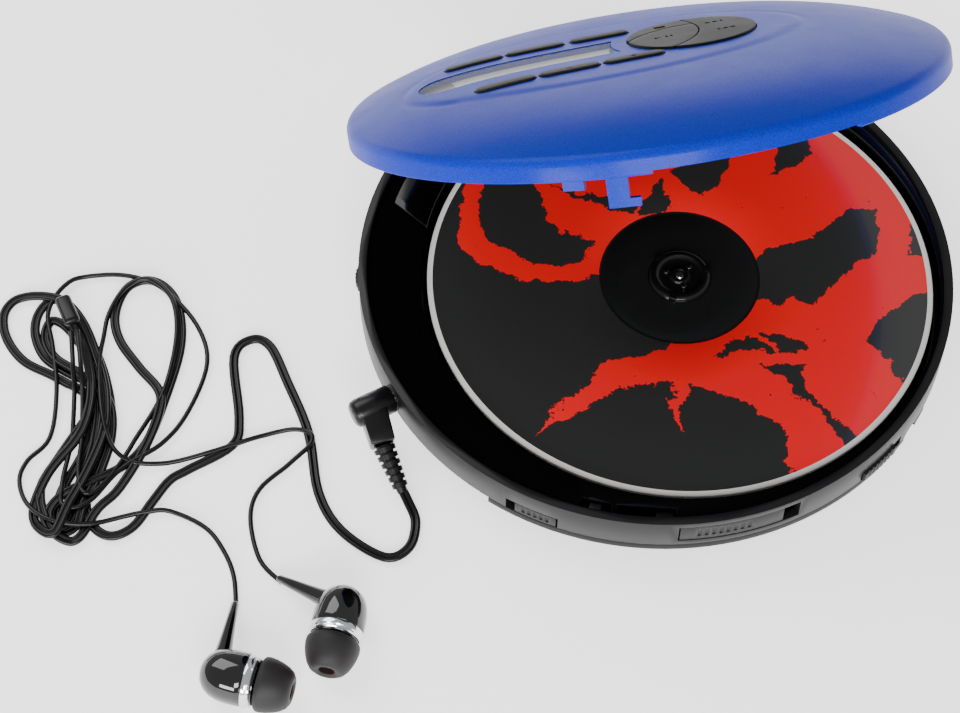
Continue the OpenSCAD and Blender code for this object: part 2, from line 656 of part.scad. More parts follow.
module tone_slider() color("#46474a") {
  z = [seam_z + 0.25, tone_top - 0.25];
  difference() {
    ring_sector(in_r + 0.05, base_r + 0.7, tone_a, z);
    for (i = [0:6]) translate(around(base_r + 0.85, tone_a[0] + 1.2 + 1.06 * i)) translate([0, 0, z[0] - 1])
      cylinder(r = 0.42, h = 9, $fn = 24);
  }
  ring_sector(in_r - 6.6, in_r + 0.2, [30, 32.4], [z[0], inside_z - 0.25]);
}

module volume_wheel() color("#3a3a3c") at_angle(wheel_a) translate([0, -wheel_c, wheel_z[0]]) difference() {
  cylinder(r = wheel_r, h = wheel_z[1] - wheel_z[0]);
  translate([0, 0, -1]) cylinder(r = shaft_r + run_gap, h = 9);
  for (i = [0:35]) rotate([0, 0, 10 * i]) translate([wheel_r + 0.2, 0, -1]) cylinder(r = 0.4, h = 9, $fn = 16);
}

module hinge_pins() color("#c9cbcd") for (s = [-1, 1]) translate([s * (lug_w - 6), hinge_y, hinge_z])
  rotate([0, s * 90, 0]) cylinder(r = hinge_pin_r, h = 10.6);

// ---- Lid, drawn closed ----

module bars_2d(grow) {
  for (x = upper_x) translate([x, bar_y]) bar_outline(bar_l, bar_w, grow);
  for (x = lower_x) translate([x, -bar_y]) bar_outline(bar_l, bar_w, grow);
}

module display_2d(grow) {
  mid = (display_y[0] + display_y[1]) / 2;
  high = display_y[1] - display_y[0];
  difference() {
    union() {
      translate([display_x0 + display_end_r, mid]) circle(r = high / 2 + grow, $fn = 48);
      translate([display_x0 + display_end_r, display_y[0] - grow])
        square([key_x - display_x0 - display_end_r, high + 2 * grow]);
    }
    translate([key_x, 0]) circle(r = display_bite_r - grow, $fn = 96);
  }
}

module raised_panel_2d() {
  polygon([for (i = [0:39]) [-8.5 + 46.5 * cos(9 * i), 28 * sin(9 * i)]]);
}

module lid_shell() color("#1f4fd0") opened() {
  steps = 3;
  crown = [for (i = [0:steps]) crown_a * i / steps];
  n = 10;
  rise = dome_z - crown_r * sin(crown_a);
  difference() {
    union() {
      rotate_extrude($fn = 96) polygon(concat(
        [[lid_r - lid_wall, lid_z], [lid_r, lid_z]],
        [for (a = crown) [lid_r - crown_r * (1 - cos(a)), rise + crown_r * sin(a)]],
        [for (i = [n - 1:-1:0]) [dome_r * i / n, dome_top(dome_r * i / n)]],
        [for (i = [0:n - 1]) [dome_r * i / n, dome_top(dome_r * i / n) - lid_wall]],
        [for (i = [steps:-1:0]) [lid_r - lid_wall - crown_r * (1 - cos(crown[i])) * 0.8,
                                 rise - 0.4 + (crown_r - lid_wall + 0.4) * sin(crown[i])]]));
      intersection() {
        dome_slab(-0.6, 0.3);
        translate([0, 0, lid_z]) linear_extrude(far) raised_panel_2d();
      }
      // Big hook with its barb, and the small tab
      ring_sector(hook_r0, hook_r1, hook_a, [hook_z, dome_z - 2]);
      ring_sector(hook_r0, hook_r1, [hook_a[1] - 0.3, barb_a], [hook_z, hook_z + barb_h]);
      ring_sector(hook_r0, hook_r1, tab_a, [tab_z, dome_z - 2]);
      // Hinge ears
      for (s = [-1, 1]) translate([s * (lug_w + 2.6), hinge_y, hinge_z]) {
        rotate([0, 90, 0]) translate([0, 0, -2.2]) cylinder(r = lug_r, h = 4.4);
        block([-2.2, 2.2], [-2.1, 0.3], [0, 5]);
      }
      // Posts of the key board
      for (p = post_at) translate([p[0], p[1], board_top])
        cylinder(r = 1.5, h = dome_top(norm(p)) - lid_wall / 2 - board_top, $fn = 32);
      // Seat of the liner
      tube_z(lid_r - lid_wall - 2.2, lid_r - lid_wall + 0.3, lid_z + 2.3, lid_z + 3.3);
    }
    translate([-far, hinge_y, hinge_z]) rotate([0, 90, 0]) cylinder(r = hinge_pin_r + run_gap, h = 2 * far);
    // Shallow finger notch in the front of the skirt
    ring_sector(hook_r0, far / 2, notch_a, [0, lid_z + 0.8]);
    // Room for the middle knuckle
    block([-lug_w - 0.3, lug_w + 0.3], [hinge_y - 4, far], [0, hinge_z + lug_r + 0.45]);
    translate([0, 0, top_z - 8]) linear_extrude(far) {
      bars_2d(key_gap);
      translate([key_x, 0]) circle(r = key_r + key_gap, $fn = 96);
      display_2d(0);
    }
  }
}

module lid_liner() color("#0e0e10") opened() difference() {
  union() {
    translate([0, 0, lid_z + 1.2]) cylinder(r = lid_r - lid_wall - 0.6, h = 1.1);
    at_spindle() tube_z(17, 18.4, lid_z + 0.2, lid_z + 1.2 + eps);
  }
  block([-far, far], [hinge_y - 6, far], [0, far]);
  translate([0, 0, -1]) for (s = [hook_a, tab_a]) ring_sector(in_r - 4, far / 2, [s[0] - 1, s[1] + 3.5], [0, far / 2]);
}

module key_board() color("#1f5a3a") opened() intersection() {
  translate([-8.5, 0, board_top - 1]) cylinder(r = 44, h = 1);
  block([-46, 30], [-21, 21], [0, far]);
}

module lcd_panel() color("#9aa39a") opened() block([display_x0 + 6.5, -7.5], [-4.2, 6.4], [board_top, board_top + 1.1]);

module display_window() color("#aeb0ae") opened() intersection() {
  dome_slab(-lid_wall + 0.1, 0.3 - lens_sink);
  translate([0, 0, lid_z]) linear_extrude(far) display_2d(0);
}

// A key cut to an outline: its cap, which stands through the lid's shell, and its stems.
module key_body(stems) {
  intersection() {
    dome_slab(-lid_wall - 0.6, key_rise + 0.3);
    translate([0, 0, lid_z]) linear_extrude(far) children(0);
  }
  for (p = stems) translate([p[0], p[1], board_top + key_press + 0.1]) intersection() {
    cylinder(r = 1.3, h = 5, $fn = 32);
    translate([0, 0, -5]) cylinder(r = 3, h = 5 + dome_top(norm(p)) - board_top - key_press - 1);
  }
}

module bar_button(x, y) color("#55534f") opened()
  key_body([[x - 3.5, y], [x + 3.5, y]]) translate([x, y]) bar_outline(bar_l, bar_w, 0);

module upper_left_button() bar_button(upper_x[0], bar_y);
module upper_middle_button() bar_button(upper_x[1], bar_y);
module upper_right_button() bar_button(upper_x[2], bar_y);
module lower_left_button() bar_button(lower_x[0], -bar_y);
module lower_middle_button() bar_button(lower_x[1], -bar_y);
module lower_right_button() bar_button(lower_x[2], -bar_y);

// The round cluster is cut by two arcs into a crescent, a rounded key and a rocker.
module stop_key() color("#55534f") opened() key_body([in_cluster(-0.65, 0.6)]) difference() {
  intersection() {
    translate([key_x, 0]) circle(r = key_r, $fn = 96);
    translate(split_c) circle(r = split_r - seam_gap / 2, $fn = 96);
  }
  translate(play_c) circle(r = play_r + seam_gap / 2, $fn = 96);
}

module play_key() color("#55534f") opened() key_body([in_cluster(-0.4, -0.2)]) intersection() {
  translate([key_x, 0]) circle(r = key_r, $fn = 96);
  translate(play_c) circle(r = play_r - seam_gap / 2, $fn = 96);
  translate(split_c) circle(r = split_r - seam_gap / 2, $fn = 96);
}

module skip_key() color("#55534f") opened() {
  key_body([in_cluster(0.55, 0.48), in_cluster(0.48, -0.48)]) difference() {
    translate([key_x, 0]) circle(r = key_r, $fn = 96);
    translate(split_c) circle(r = split_r + seam_gap / 2, $fn = 96);
    translate([-far, -far / 2]) square([far + 3, far]);
  }
  // Bar that the key rocks on
  translate([key_x + 4, 0, rock_z]) rotate([0, 90, 0]) cylinder(r = rock_r, h = 8, $fn = 32);
}

// ---- Earphones ----

// A cone or a cylinder from p to q.
module taper(p, q, r0, r1) {
  d = q - p;
  translate(p) rotate([0, acos(d[2] / norm(d)), atan2(d[1], d[0])]) cylinder(r1 = r0, r2 = r1, h = norm(d));
}

// A smooth curve through the route's points, with n steps for each stretch.
function route_at(p, i) = p[max(0, min(len(p) - 1, i))];
function mix_cubic(a, b, c, d, t) =
  b + (c - a) * t / 2 + (2 * a - 5 * b + 4 * c - d) * t * t / 2 + (3 * b - a - 3 * c + d) * t * t * t / 2;
function smooth(p, n) = concat(
  [for (i = [0:len(p) - 2], k = [0:n - 1])
    mix_cubic(route_at(p, i - 1), p[i], p[i + 1], route_at(p, i + 2), k / n)],
  [p[len(p) - 1]]);
function unit(v) = v / norm(v);
function heading(p, i) = unit(route_at(p, i + 1) - route_at(p, i - 1));

// A tube of eight sides along a route, w wide and h high.
module swept(route, w, h) {
  p = smooth(route, 2);
  n = len(p);
  points = [for (i = [0:n - 1])
    let (t = heading(p, i), side = unit(cross([0, 0, 1], t)), up = cross(t, side))
    for (k = [0:7]) p[i] + side * w / 2 * cos(45 * k) + up * h / 2 * sin(45 * k)];
  faces = concat(
    [[for (k = [0:7]) k]],
    [for (i = [0:n - 2], k = [0:7])
      [8 * i + (k + 1) % 8, 8 * i + k, 8 * i + 8 + k, 8 * i + 8 + (k + 1) % 8]],
    [[for (k = [7:-1:0]) 8 * (n - 1) + k]]);
  polyhedron(points, faces);
}

// Flat slab with round ends between two points.
module capsule(p, q, r, z) {
  d = q - p;
  translate([0, 0, z[0]]) linear_extrude(z[1] - z[0]) {
    for (c = [p, q]) translate(c) circle(r = r, $fn = 48);
    translate(p) rotate(atan2(d[1], d[0])) translate([0, -r]) square([norm(d), 2 * r]);
  }
}

// The earphones keep their place beside the socket when the case grows.
module beside_case() { translate(around(base_r - 70.3, jack_a)) children(); }

module plug() color("#141414") {
  at_angle(jack_a) translate([0, -base_r - 0.2, jack_z]) rotate([90, 0, 0]) cylinder(r = barrel_r, h = plug_len);
  beside_case() taper([-72.9, -20.5, jack_z - 0.3], arm_end, 2.9, 2.7);
}

module plug_tip() color("#c9cbcd") at_angle(jack_a) translate([0, -jack_in - 0.7, jack_z]) rotate([90, 0, 0])
  cylinder(r = pin_r, h = base_r - jack_in - 0.4);

module plug_relief() color("#141414") beside_case() taper(arm_end, relief_end, 2.4, 1.5);

module twin_cord() color("#161616") beside_case() swept(twin_route, 2 * cord_w, cord_w);
module left_wire() color("#161616") beside_case() swept(left_route, cord_w, cord_w);
module right_wire() color("#161616") beside_case() swept(right_route, cord_w, cord_w);

module cord_hank() color("#161616") beside_case() {
  capsule([-147, -26], [-136, 31], 8, [0, 6]);
  capsule([-121, -8], [-118, 25], 11, [0, 3]);
  capsule([-149, 15], [-147, 30], 4.5, [0, 3]);
}

module cord_splitter() color("#141414") beside_case() capsule([-139, 29], [-137.5, 23], 2.2, [6, 8.6]);

// Each bud is turned about its own axis, which lies flat and points to the eartip.
module at_bud(b) { beside_case() translate(b[0]) rotate([0, 0, b[1]]) rotate([0, 90, 0]) children(); }

module earbud(b) color("#101010") at_bud(b) rotate_extrude($fn = 48) polygon([
  [0, -11.2], [2.4, -11], [4.4, -9.9], [5.6, -7.8], [bud_r, -5], [bud_r, -0.8], [2.6, -0.8],
  [2.6, 1.6], [nozzle_r, 2.4], [nozzle_r, 5.5], [1.3, 5.5], [1.3, 0.5], [0, 0.5]]);

module eartip(b) color("#3c3c3e") at_bud(b) rotate_extrude($fn = 48) polygon([
  [nozzle_r, 2.5], [2.9, 2.6], [2.9, 7], [5, 5], [5.6, 1.6], [tip_r, 1.5], [tip_r, 3.4], [5.5, 6],
  [4.4, 8], [3, 9], [nozzle_r, 9]]);

module left_earbud() earbud(left_bud);
module right_earbud() earbud(right_bud);
module left_eartip() eartip(left_bud);
module right_eartip() eartip(right_bud);

module bud_rings() color("#d5d7d9") for (b = [left_bud, right_bud]) at_bud(b) tube_z(2.6, bud_r, -0.8, 0.5);

module bud_reliefs() color("#141414") for (i = [0, 1]) difference() {
  beside_case() taper(bud_neck[i][0], bud_neck[i][1], 1.9, 0.9);
  at_bud([left_bud, right_bud][i]) translate([0, 0, -12]) cylinder(r = bud_r, h = 12);
}

bottom_case();
deck_case();
case_screws();
rubber_feet();
battery_door();
battery_cells();
battery_contacts();
main_board();
side_board();
board_chips();
earphone_jack();
line_jack();
switch_bodies();
volume_pot();
mech_chassis();
dampers();
spindle_motor();
guide_rods();
feed_motor();
hinge_pins();
turntable();
disc();
pickup_sled();
pickup_lens();
feed_gear();
motor_pinion();
lid_plunger();
open_slider();
hold_slider();
tone_slider();
volume_wheel();
lid_shell();
lid_liner();
key_board();
lcd_panel();
display_window();
upper_left_button();
upper_middle_button();
upper_right_button();
lower_left_button();
lower_middle_button();
lower_right_button();
stop_key();
play_key();
skip_key();
plug();
plug_tip();
plug_relief();
twin_cord();
cord_hank();
cord_splitter();
left_wire();
right_wire();
left_earbud();
right_earbud();
bud_rings();
bud_reliefs();
left_eartip();
right_eartip();
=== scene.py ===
import math

import bpy
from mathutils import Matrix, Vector


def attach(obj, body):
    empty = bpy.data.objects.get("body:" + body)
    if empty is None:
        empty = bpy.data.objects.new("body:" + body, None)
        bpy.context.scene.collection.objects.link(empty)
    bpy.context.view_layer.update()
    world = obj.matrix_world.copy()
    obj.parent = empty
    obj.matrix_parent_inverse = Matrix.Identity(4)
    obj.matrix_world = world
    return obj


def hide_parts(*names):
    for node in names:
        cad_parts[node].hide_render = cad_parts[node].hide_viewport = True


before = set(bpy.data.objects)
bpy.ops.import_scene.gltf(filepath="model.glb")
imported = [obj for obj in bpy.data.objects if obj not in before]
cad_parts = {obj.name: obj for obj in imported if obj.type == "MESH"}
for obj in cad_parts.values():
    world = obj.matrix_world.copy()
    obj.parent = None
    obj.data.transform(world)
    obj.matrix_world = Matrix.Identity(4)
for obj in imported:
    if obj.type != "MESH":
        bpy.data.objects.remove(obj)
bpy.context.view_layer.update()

# ---------------------------------------------------------------- camera
# A long lens from the front left, about 0.6 m away and 57 degrees above the table.
camera_data = bpy.data.cameras.new("camera")
camera = bpy.data.objects.new("camera", camera_data)
bpy.context.collection.objects.link(camera)
bpy.context.scene.camera = camera
camera_data.lens = 94.68
camera_data.sensor_width = 36.0
camera.location = (-0.1240, -0.3228, 0.5062)
CAMERA_AIM, CAMERA_ROLL = Vector((0.1329, 0.5269, -0.8395)), math.radians(0.53)
camera.rotation_euler = CAMERA_AIM.to_track_quat("-Z", "Y").to_euler()
camera.rotation_euler.rotate_axis("Z", CAMERA_ROLL)

# ---------------------------------------------------------------- earphone cords
# Flat twin lead of two soft black PVC strands, folded into a loose hank on the table, and a single
# strand from its splitter to each bud. Each is a smooth path on the table with a profile swept on it.
MM = 0.001
STRAND = 1.2 * MM  # thickness of one strand
LIFT = 0.6  # a strand's middle over the table, in millimetres
HANK_TOP = 5.6  # highest that a strand is stacked in the hank, in millimetres
OWN_REACH = 14  # points back along its own path that a strand never rests on
EASE = 5  # points on either side over which a height is averaged


def colour(hex_code):
    """Linear RGBA of an sRGB hex colour."""
    parts = [int(hex_code[i : i + 2], 16) / 255 for i in (1, 3, 5)]
    return [p / 12.92 if p <= 0.04045 else ((p + 0.055) / 1.055) ** 2.4 for p in parts] + [1.0]


def add_node(material, kind, links=None, **settings):
    """Adds a shader node. links gives each input a plain value or another node's output."""
    node = material.node_tree.nodes.new("ShaderNode" + kind)
    for name, value in settings.items():
        setattr(node, name, value)
    for name, value in (links or {}).items():
        if isinstance(value, bpy.types.NodeSocket):
            material.node_tree.links.new(value, node.inputs[name])
        else:
            node.inputs[name].default_value = value
    return node


def plastic(name, hex_code, roughness, grain=0.4, bump=0.05, **sockets):
    """Moulded plastic or rubber: one body colour, a fine grain in millimetres and a little smear."""
    material = bpy.data.materials.new(name)
    material.use_nodes = True
    shader = material.node_tree.nodes["Principled BSDF"]
    place = add_node(material, "TexCoord").outputs["Object"]
    fine = add_node(material, "TexNoise", {"Vector": place, "Scale": 1 / (grain * MM), "Detail": 3.0})
    broad = add_node(material, "TexNoise", {"Vector": place, "Scale": 90.0, "Detail": 4.0})
    spread = add_node(material, "MapRange", {"Value": broad.outputs["Fac"], "To Min": roughness * 0.82,
                                             "To Max": min(1.0, roughness * 1.18)})
    relief = add_node(material, "Bump", {"Height": fine.outputs["Fac"], "Strength": bump,
                                         "Distance": 0.1 * MM})
    tree = material.node_tree
    tree.links.new(spread.outputs["Result"], shader.inputs["Roughness"])
    tree.links.new(relief.outputs["Normal"], shader.inputs["Normal"])
    shader.inputs["Base Color"].default_value = colour(hex_code)
    for socket, value in sockets.items():
        shader.inputs[socket.replace("_", " ")].default_value = value
    return material


# Soft PVC: near black, a soft sheen and a fine drag grain from the extruder
cord_pvc = plastic("cord_pvc", "#060607", 0.3, grain=0.5, bump=0.08, IOR=1.4)


def route_path(points, steps=6):
    """Smooth curve in metres through a route's points, which are in millimetres."""
    p = [Vector(point) for point in points]
    p = [p[0]] + p + [p[-1]]
    path = []
    for a, b, c, d in zip(p, p[1:], p[2:], p[3:]):
        for k in range(steps):
            t = k / steps
            path.append(b + (c - a) * t / 2 + (2 * a - 5 * b + 4 * c - d) * t * t / 2
                        + (3 * b - a - 3 * c + d) * t ** 3 / 2)
    path.append(p[-1])
    return [v * MM for v in path]


def deselect():
    if bpy.context.mode != "OBJECT":
        bpy.ops.object.mode_set(mode="OBJECT")
    bpy.ops.object.select_all(action="DESELECT")


def activate(piece):
    """Makes a piece the only selected one and the active one."""
    deselect()
    piece.select_set(True)
    bpy.context.view_layer.objects.active = piece


def profile_curve(strands):
    """Closed outline of one strand, or of two that lie side by side."""
    data = bpy.data.curves.new("profile", "CURVE")
    spline = data.splines.new("POLY")
    outline = []
    count = 12
    # Each arc: where its middle is, its first angle, its turn and the steps in it
    arcs = [(0.0, 0, 360, count)]
    if strands == 2:
        arcs = [(STRAND / 2, -148, 296, count - 1), (-STRAND / 2, 32, 296, count - 1)]
    for middle, start, turn, steps in arcs:
        for i in range(count):
            a = math.radians(start + turn * i / steps)
            outline.append((middle + STRAND / 2 * math.cos(a), STRAND / 2 * math.sin(a), 0))
    spline.points.add(len(outline) - 1)
    for point, place in zip(spline.points, outline):
        point.co = (*place, 1)
    spline.use_cyclic_u = True
    profile = bpy.data.objects.new("profile", data)
    bpy.context.collection.objects.link(profile)
    return profile


def swept_cord(name, path, strands):
    data = bpy.data.curves.new(name, "CURVE")
    data.dimensions = "3D"
    data.twist_mode = "Z_UP"
    spline = data.splines.new("POLY")
    spline.points.add(len(path) - 1)
    for point, place in zip(spline.points, path):
        point.co = (*place, 1)
    profile = profile_curve(strands)
    data.bevel_mode = "OBJECT"
    data.bevel_object = profile
    data.use_fill_caps = True
    cord = bpy.data.objects.new(name, data)
    bpy.context.collection.objects.link(cord)
    activate(cord)
    bpy.ops.object.convert(target="MESH")
    bpy.data.objects.remove(profile)
    bpy.ops.object.shade_smooth()
    cord.data.materials.clear()
    cord.data.materials.append(cord_pvc)
    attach(cord, "earphones")
    return cord


lead_route = [
    (-70.7, -36.8, 3.3), (-69.5, -41, 1.5), (-69, -46, LIFT), (-72, -52, LIFT), (-78, -53, LIFT),
    (-86, -44, LIFT), (-89, -33, LIFT), (-88, -17, LIFT), (-90, -2, LIFT), (-92, 9, LIFT),
    (-96, 12, LIFT), (-101, 8, LIFT), (-103, -9, LIFT), (-106, -16, LIFT), (-117, -20, LIFT),
]

# The hank: four long loops that are laid over each other and pinched together half way up
hank_loops = [
    (-121.7, -21.8), (-126.5, -26.4), (-131.9, -31.9), (-137.0, -33.2), (-140.5, -30.3), (-141.6, -24.4),
    (-139.1, -15.5), (-132.6, -3.2), (-131.7, 8.9), (-133.4, 20.3), (-136.1, 30.1), (-140.1, 34.5),
    (-144.3, 31.5), (-146.1, 25.6), (-144.8, 18.5), (-140.1, 12.9), (-134.5, 7.7), (-131.9, 1.0),
    (-133.0, -7.4), (-137.5, -17.0), (-142.2, -24.2), (-144.2, -28.4), (-147.5, -29.7), (-149.3, -27.2),
    (-146.5, -19.0), (-139.5, -9.0), (-134.8, 3.0), (-133.9, 12.0), (-137.5, 24.0), (-141.5, 28.5),
    (-143.9, 24.0), (-142.5, 17.5), (-137.5, 11.0), (-134.6, 3.0), (-137.0, -8.0), (-142.5, -19.0),
    (-145.5, -27.0), (-149.0, -28.5), (-150.3, -25.0), (-147.8, -21.5), (-142.3, -19.0), (-132.4, -16.1),
    (-125.2, -10.4), (-118.6, 1.1), (-112.8, 14.2), (-111.4, 25.3), (-113.7, 32.2), (-118.0, 35.0),
    (-123.0, 33.3), (-126.6, 26.6), (-126.7, 19.2), (-123.5, 10.6), (-120.0, 2.6), (-121.1, -3.8),
    (-125.9, -12.3), (-133.3, -21.2), (-139.4, -25.9), (-144.3, -32.0), (-148.2, -31.6), (-151.0, -26.8),
    (-150.9, -16.9), (-144.8, -8.8), (-136.0, 0.9), (-138.3, 7.0), (-143.4, 12.6), (-149.8, 18.6),
    (-152.9, 26.1), (-152.6, 32.9), (-149.1, 36.6), (-143.6, 36.2), (-138.0, 32.8), (-134.5, 25.7),
    (-132.8, 15.6), (-132.3, 4.4), (-134.4, -6.0), (-139.5, -15.4), (-145.2, -23.5), (-149.7, -30.6),
    (-153.2, -27.1), (-153.1, -21.6), (-148.1, -13.4), (-139.2, -4.8), (-135.5, 4.9), (-135.1, 16.0),
    (-136.2, 23.0), (-138.1, 28.5),
]


def settled(path, below, width, first=0):
    """Lifts a path where it crosses itself or the paths below it, as a cord rests on the one under it."""
    laid = [(v, w) for other, w in below for v in other]
    heights = []
    for i, point in enumerate(path):
        level = point.z if i < first else LIFT * MM
        spots = laid + [(Vector((*v.xy, z)), width) for v, z in list(zip(path, heights))[: max(0, i - OWN_REACH)]]
        for other, w in spots if i >= first else []:
            if (other.xy - point.xy).length < (w + width) * 0.36:
                level = max(level, min(other.z + 0.95 * STRAND, HANK_TOP * MM))
        heights.append(level)
    near = [heights[max(0, i - EASE) : i + EASE + 1] for i in range(len(path))]
    eased = [sum(span) / len(span) for span in near]
    return [Vector((*v.xy, z if i < first else h)) for i, (v, z, h) in enumerate(zip(path, heights, eased))]


FREE_LEAD = 70  # points of the lead between the plug and the hank, which keep their own heights
lead_points = lead_route + [(x, y, LIFT) for x, y in hank_loops]
lead_path = settled(route_path(lead_points), [], 2 * STRAND, first=FREE_LEAD)
twin_lead = swept_cord("twin_lead", lead_path, 2)

left_wire_route = [
    (-137.5, 21, 5.6), (-139, 8, 5.7), (-142, -6, 5.6), (-146, -18, 4.6), (-146.5, -24, 2.4), (-141, -24, 1.9),
    (-132, -16.5, 0.7), (-122, -12, LIFT), (-114, -4, LIFT), (-107.5, 8, LIFT), (-108, 19, LIFT),
    (-113.5, 30, LIFT), (-120, 36, LIFT), (-128, 39, 1.0), (-136, 38.5, 3.4), (-142, 31, 4.6), (-142.5, 20, 5.6),
    (-143.5, 8, 5.9), (-147, -4, 4.4), (-153, -9, 1.6), (-155.5, -14, LIFT), (-154.5, -21, LIFT), (-150, -27, 1.9),
    (-143, -29.5, 2.3), (-134, -29, 1.95), (-129, -29, 1.95), (-123, -30, 1.2), (-116, -36, LIFT),
    (-113, -43, LIFT), (-112, -50, LIFT), (-113, -58, 1.2),
]
right_wire_route = [
    (-136, 21, 5.6), (-137, 8, 6.4), (-139.5, -6, 6.2), (-142, -17, 5.4), (-141, -22, 3.6), (-136, -19.5, 2.2),
    (-128, -10, 1.9), (-119, 2, LIFT), (-113.5, 16, LIFT), (-112.5, 27, LIFT), (-117, 34, LIFT), (-123, 33, LIFT),
    (-128, 27, LIFT), (-130.5, 20, LIFT), (-132.5, 12, LIFT), (-134, -2, LIFT), (-133, -11, 1.2), (-129, -15.5, 1.9),
    (-123, -17, 1.7), (-114, -17, 1.0), (-105, -16, 1.95), (-98, -15, 1.1), (-92, -15, 1.4), (-88, -17, 1.95),
    (-88, -20, 1.95), (-94, -24, 0.9), (-102, -29, LIFT), (-105.5, -36, LIFT), (-105.5, -47, LIFT),
    (-101.8, -54, 1.3),
]
wire_paths = {"left": settled(route_path(left_wire_route), [(lead_path, 2 * STRAND)], STRAND, first=6)}
below_right = [(lead_path, 2 * STRAND), (wire_paths["left"], STRAND)]
wire_paths["right"] = settled(route_path(right_wire_route), below_right, STRAND, first=6)
left_strand = swept_cord("left_strand", wire_paths["left"], 1)
right_strand = swept_cord("right_strand", wire_paths["right"], 1)
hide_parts("left_wire")
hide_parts("right_wire")
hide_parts("twin_cord", "cord_hank")

# ---------------------------------------------------------------- plug
# Right-angled 3.5 mm plug: black PVC moulded round a nickel pin, with a ringed strain relief that
# tapers on to the twin lead. Turned as rings about each axis, then bevelled where it was moulded.


def turned(name, rings, segments=48, closed=True):
    """Round piece about Z: a circle that is extruded and resized from ring to ring, in millimetres.

    A ring is (radius, height). With closed, the first and last rings are filled."""
    deselect()
    radius, height = rings[0]
    bpy.ops.mesh.primitive_circle_add(vertices=segments, radius=radius * MM, location=(0, 0, height * MM),
                                      fill_type="NGON" if closed else "NOTHING")
    piece = bpy.context.object
    piece.name = name
    bpy.ops.object.transform_apply(location=True, rotation=True, scale=True)
    bpy.ops.object.mode_set(mode="EDIT")
    bpy.ops.mesh.select_all(action="SELECT")
    for (r0, z0), (r1, z1) in zip(rings, rings[1:]):
        bpy.ops.mesh.extrude_region_move(TRANSFORM_OT_translate={"value": (0, 0, (z1 - z0) * MM)})
        bpy.ops.transform.resize(value=(r1 / r0, r1 / r0, 1), center_override=(0, 0, z1 * MM))
    bpy.ops.mesh.select_all(action="SELECT")
    if closed:
        bpy.ops.mesh.normals_make_consistent(inside=False)
    bpy.ops.object.mode_set(mode="OBJECT")
    return piece


def place(piece, spot, direction, spin=0.0):
    """Puts a piece made about Z at a spot in millimetres, with its +Z along a direction."""
    activate(piece)
    piece.rotation_euler = Vector(direction).to_track_quat("Z", "Y").to_euler()
    piece.rotation_euler.rotate_axis("Z", math.radians(spin))
    piece.location = Vector(spot) * MM
    bpy.ops.object.transform_apply(location=True, rotation=True, scale=True)


def finish(piece, material, body, smooth=40, bevel=None, sections=2):
    """Rounds the sharp edges, shades, gives the material and puts the piece on its body."""
    activate(piece)
    if bevel:
        rounding = piece.modifiers.new("rounding", "BEVEL")
        rounding.width = bevel * MM
        rounding.segments = sections
        rounding.limit_method = "ANGLE"
        rounding.angle_limit = math.radians(smooth)
        bpy.ops.object.modifier_apply(modifier=rounding.name)
    bpy.ops.object.shade_smooth_by_angle(angle=math.radians(smooth))
    piece.data.materials.clear()
    piece.data.materials.append(material)
    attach(piece, body)


def join(pieces, name):
    deselect()
    for piece in pieces:
        piece.select_set(True)
    bpy.context.view_layer.objects.active = pieces[0]
    bpy.ops.object.join()
    pieces[0].name = name
    return pieces[0]


JACK_OUT = Vector((-0.9659, -0.2588, 0.0))
JACK_MOUTH = JACK_OUT * 70.5 + Vector((0, 0, 10.9))
ARM_END = Vector((-72.5, -28.5, 8.0))
RELIEF_END = Vector((-70.5, -37.5, 3.0))
barrel = turned("barrel", [(3.0, 0), (3.4, 0.5), (3.45, 5), (3.4, 8.6), (3.1, 9.6), (2.4, 10.1), (0.6, 10.2)])
place(barrel, JACK_MOUTH, JACK_OUT)
arm_start = JACK_MOUTH + JACK_OUT * 5.2 + Vector((0, 0, -0.3))
arm_length = (ARM_END - arm_start).length
arm = turned("arm", [(3.9, -2.6), (4.3, -2.2), (4.3, 3), (4.15, 6), (4.0, arm_length - 0.5), (3.5, arm_length)], 4)
place(arm, arm_start, ARM_END - arm_start, 45)
plug_body = join([barrel, arm], "plug_body")
finish(plug_body, cord_pvc, "earphones", bevel=0.45, sections=3)
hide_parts("plug")

relief_length = (RELIEF_END - ARM_END).length
RIBS, RIB_WIDE, RIB_TAPER, GROOVE = 6, 2.65, 0.9, 0.72
relief_rings = []
for i in range(RIBS):
    start = relief_length * i / RIBS
    width = RIB_WIDE - RIB_TAPER * i / RIBS
    relief_rings += [(width * GROOVE, start), (width * GROOVE, start + 0.42), (width, start + 0.5),
                     (width * 0.97, start + relief_length / RIBS - 0.1)]
plug_relief_rings = turned("plug_relief_rings", relief_rings + [(1.3, relief_length), (1.2, relief_length + 1.2)])
place(plug_relief_rings, ARM_END, RELIEF_END - ARM_END)
finish(plug_relief_rings, cord_pvc, "earphones", smooth=30)
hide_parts("plug_relief")

# ---------------------------------------------------------------- cord splitter
# Small flat oval of black PVC moulded over the place where the twin lead becomes two strands.
deselect()
bpy.ops.mesh.primitive_cube_add(size=1, location=(0, 0, 0), scale=(3.9 * MM, 8.6 * MM, 2.5 * MM))
splitter = bpy.context.object
splitter.name = "splitter_body"
bpy.ops.object.transform_apply(location=True, rotation=True, scale=True)
splitter_round = splitter.modifiers.new("round", "BEVEL")
splitter_round.width = 1.15 * MM
splitter_round.segments = 5
bpy.ops.object.modifier_apply(modifier="round")
splitter.location = Vector((-137.4, 26.3, 6.9)) * MM
splitter.rotation_euler = (math.radians(-3), 0, math.radians(10))
bpy.ops.object.transform_apply(location=True, rotation=True, scale=True)
finish(splitter, cord_pvc, "earphones", smooth=60)
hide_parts("cord_splitter")

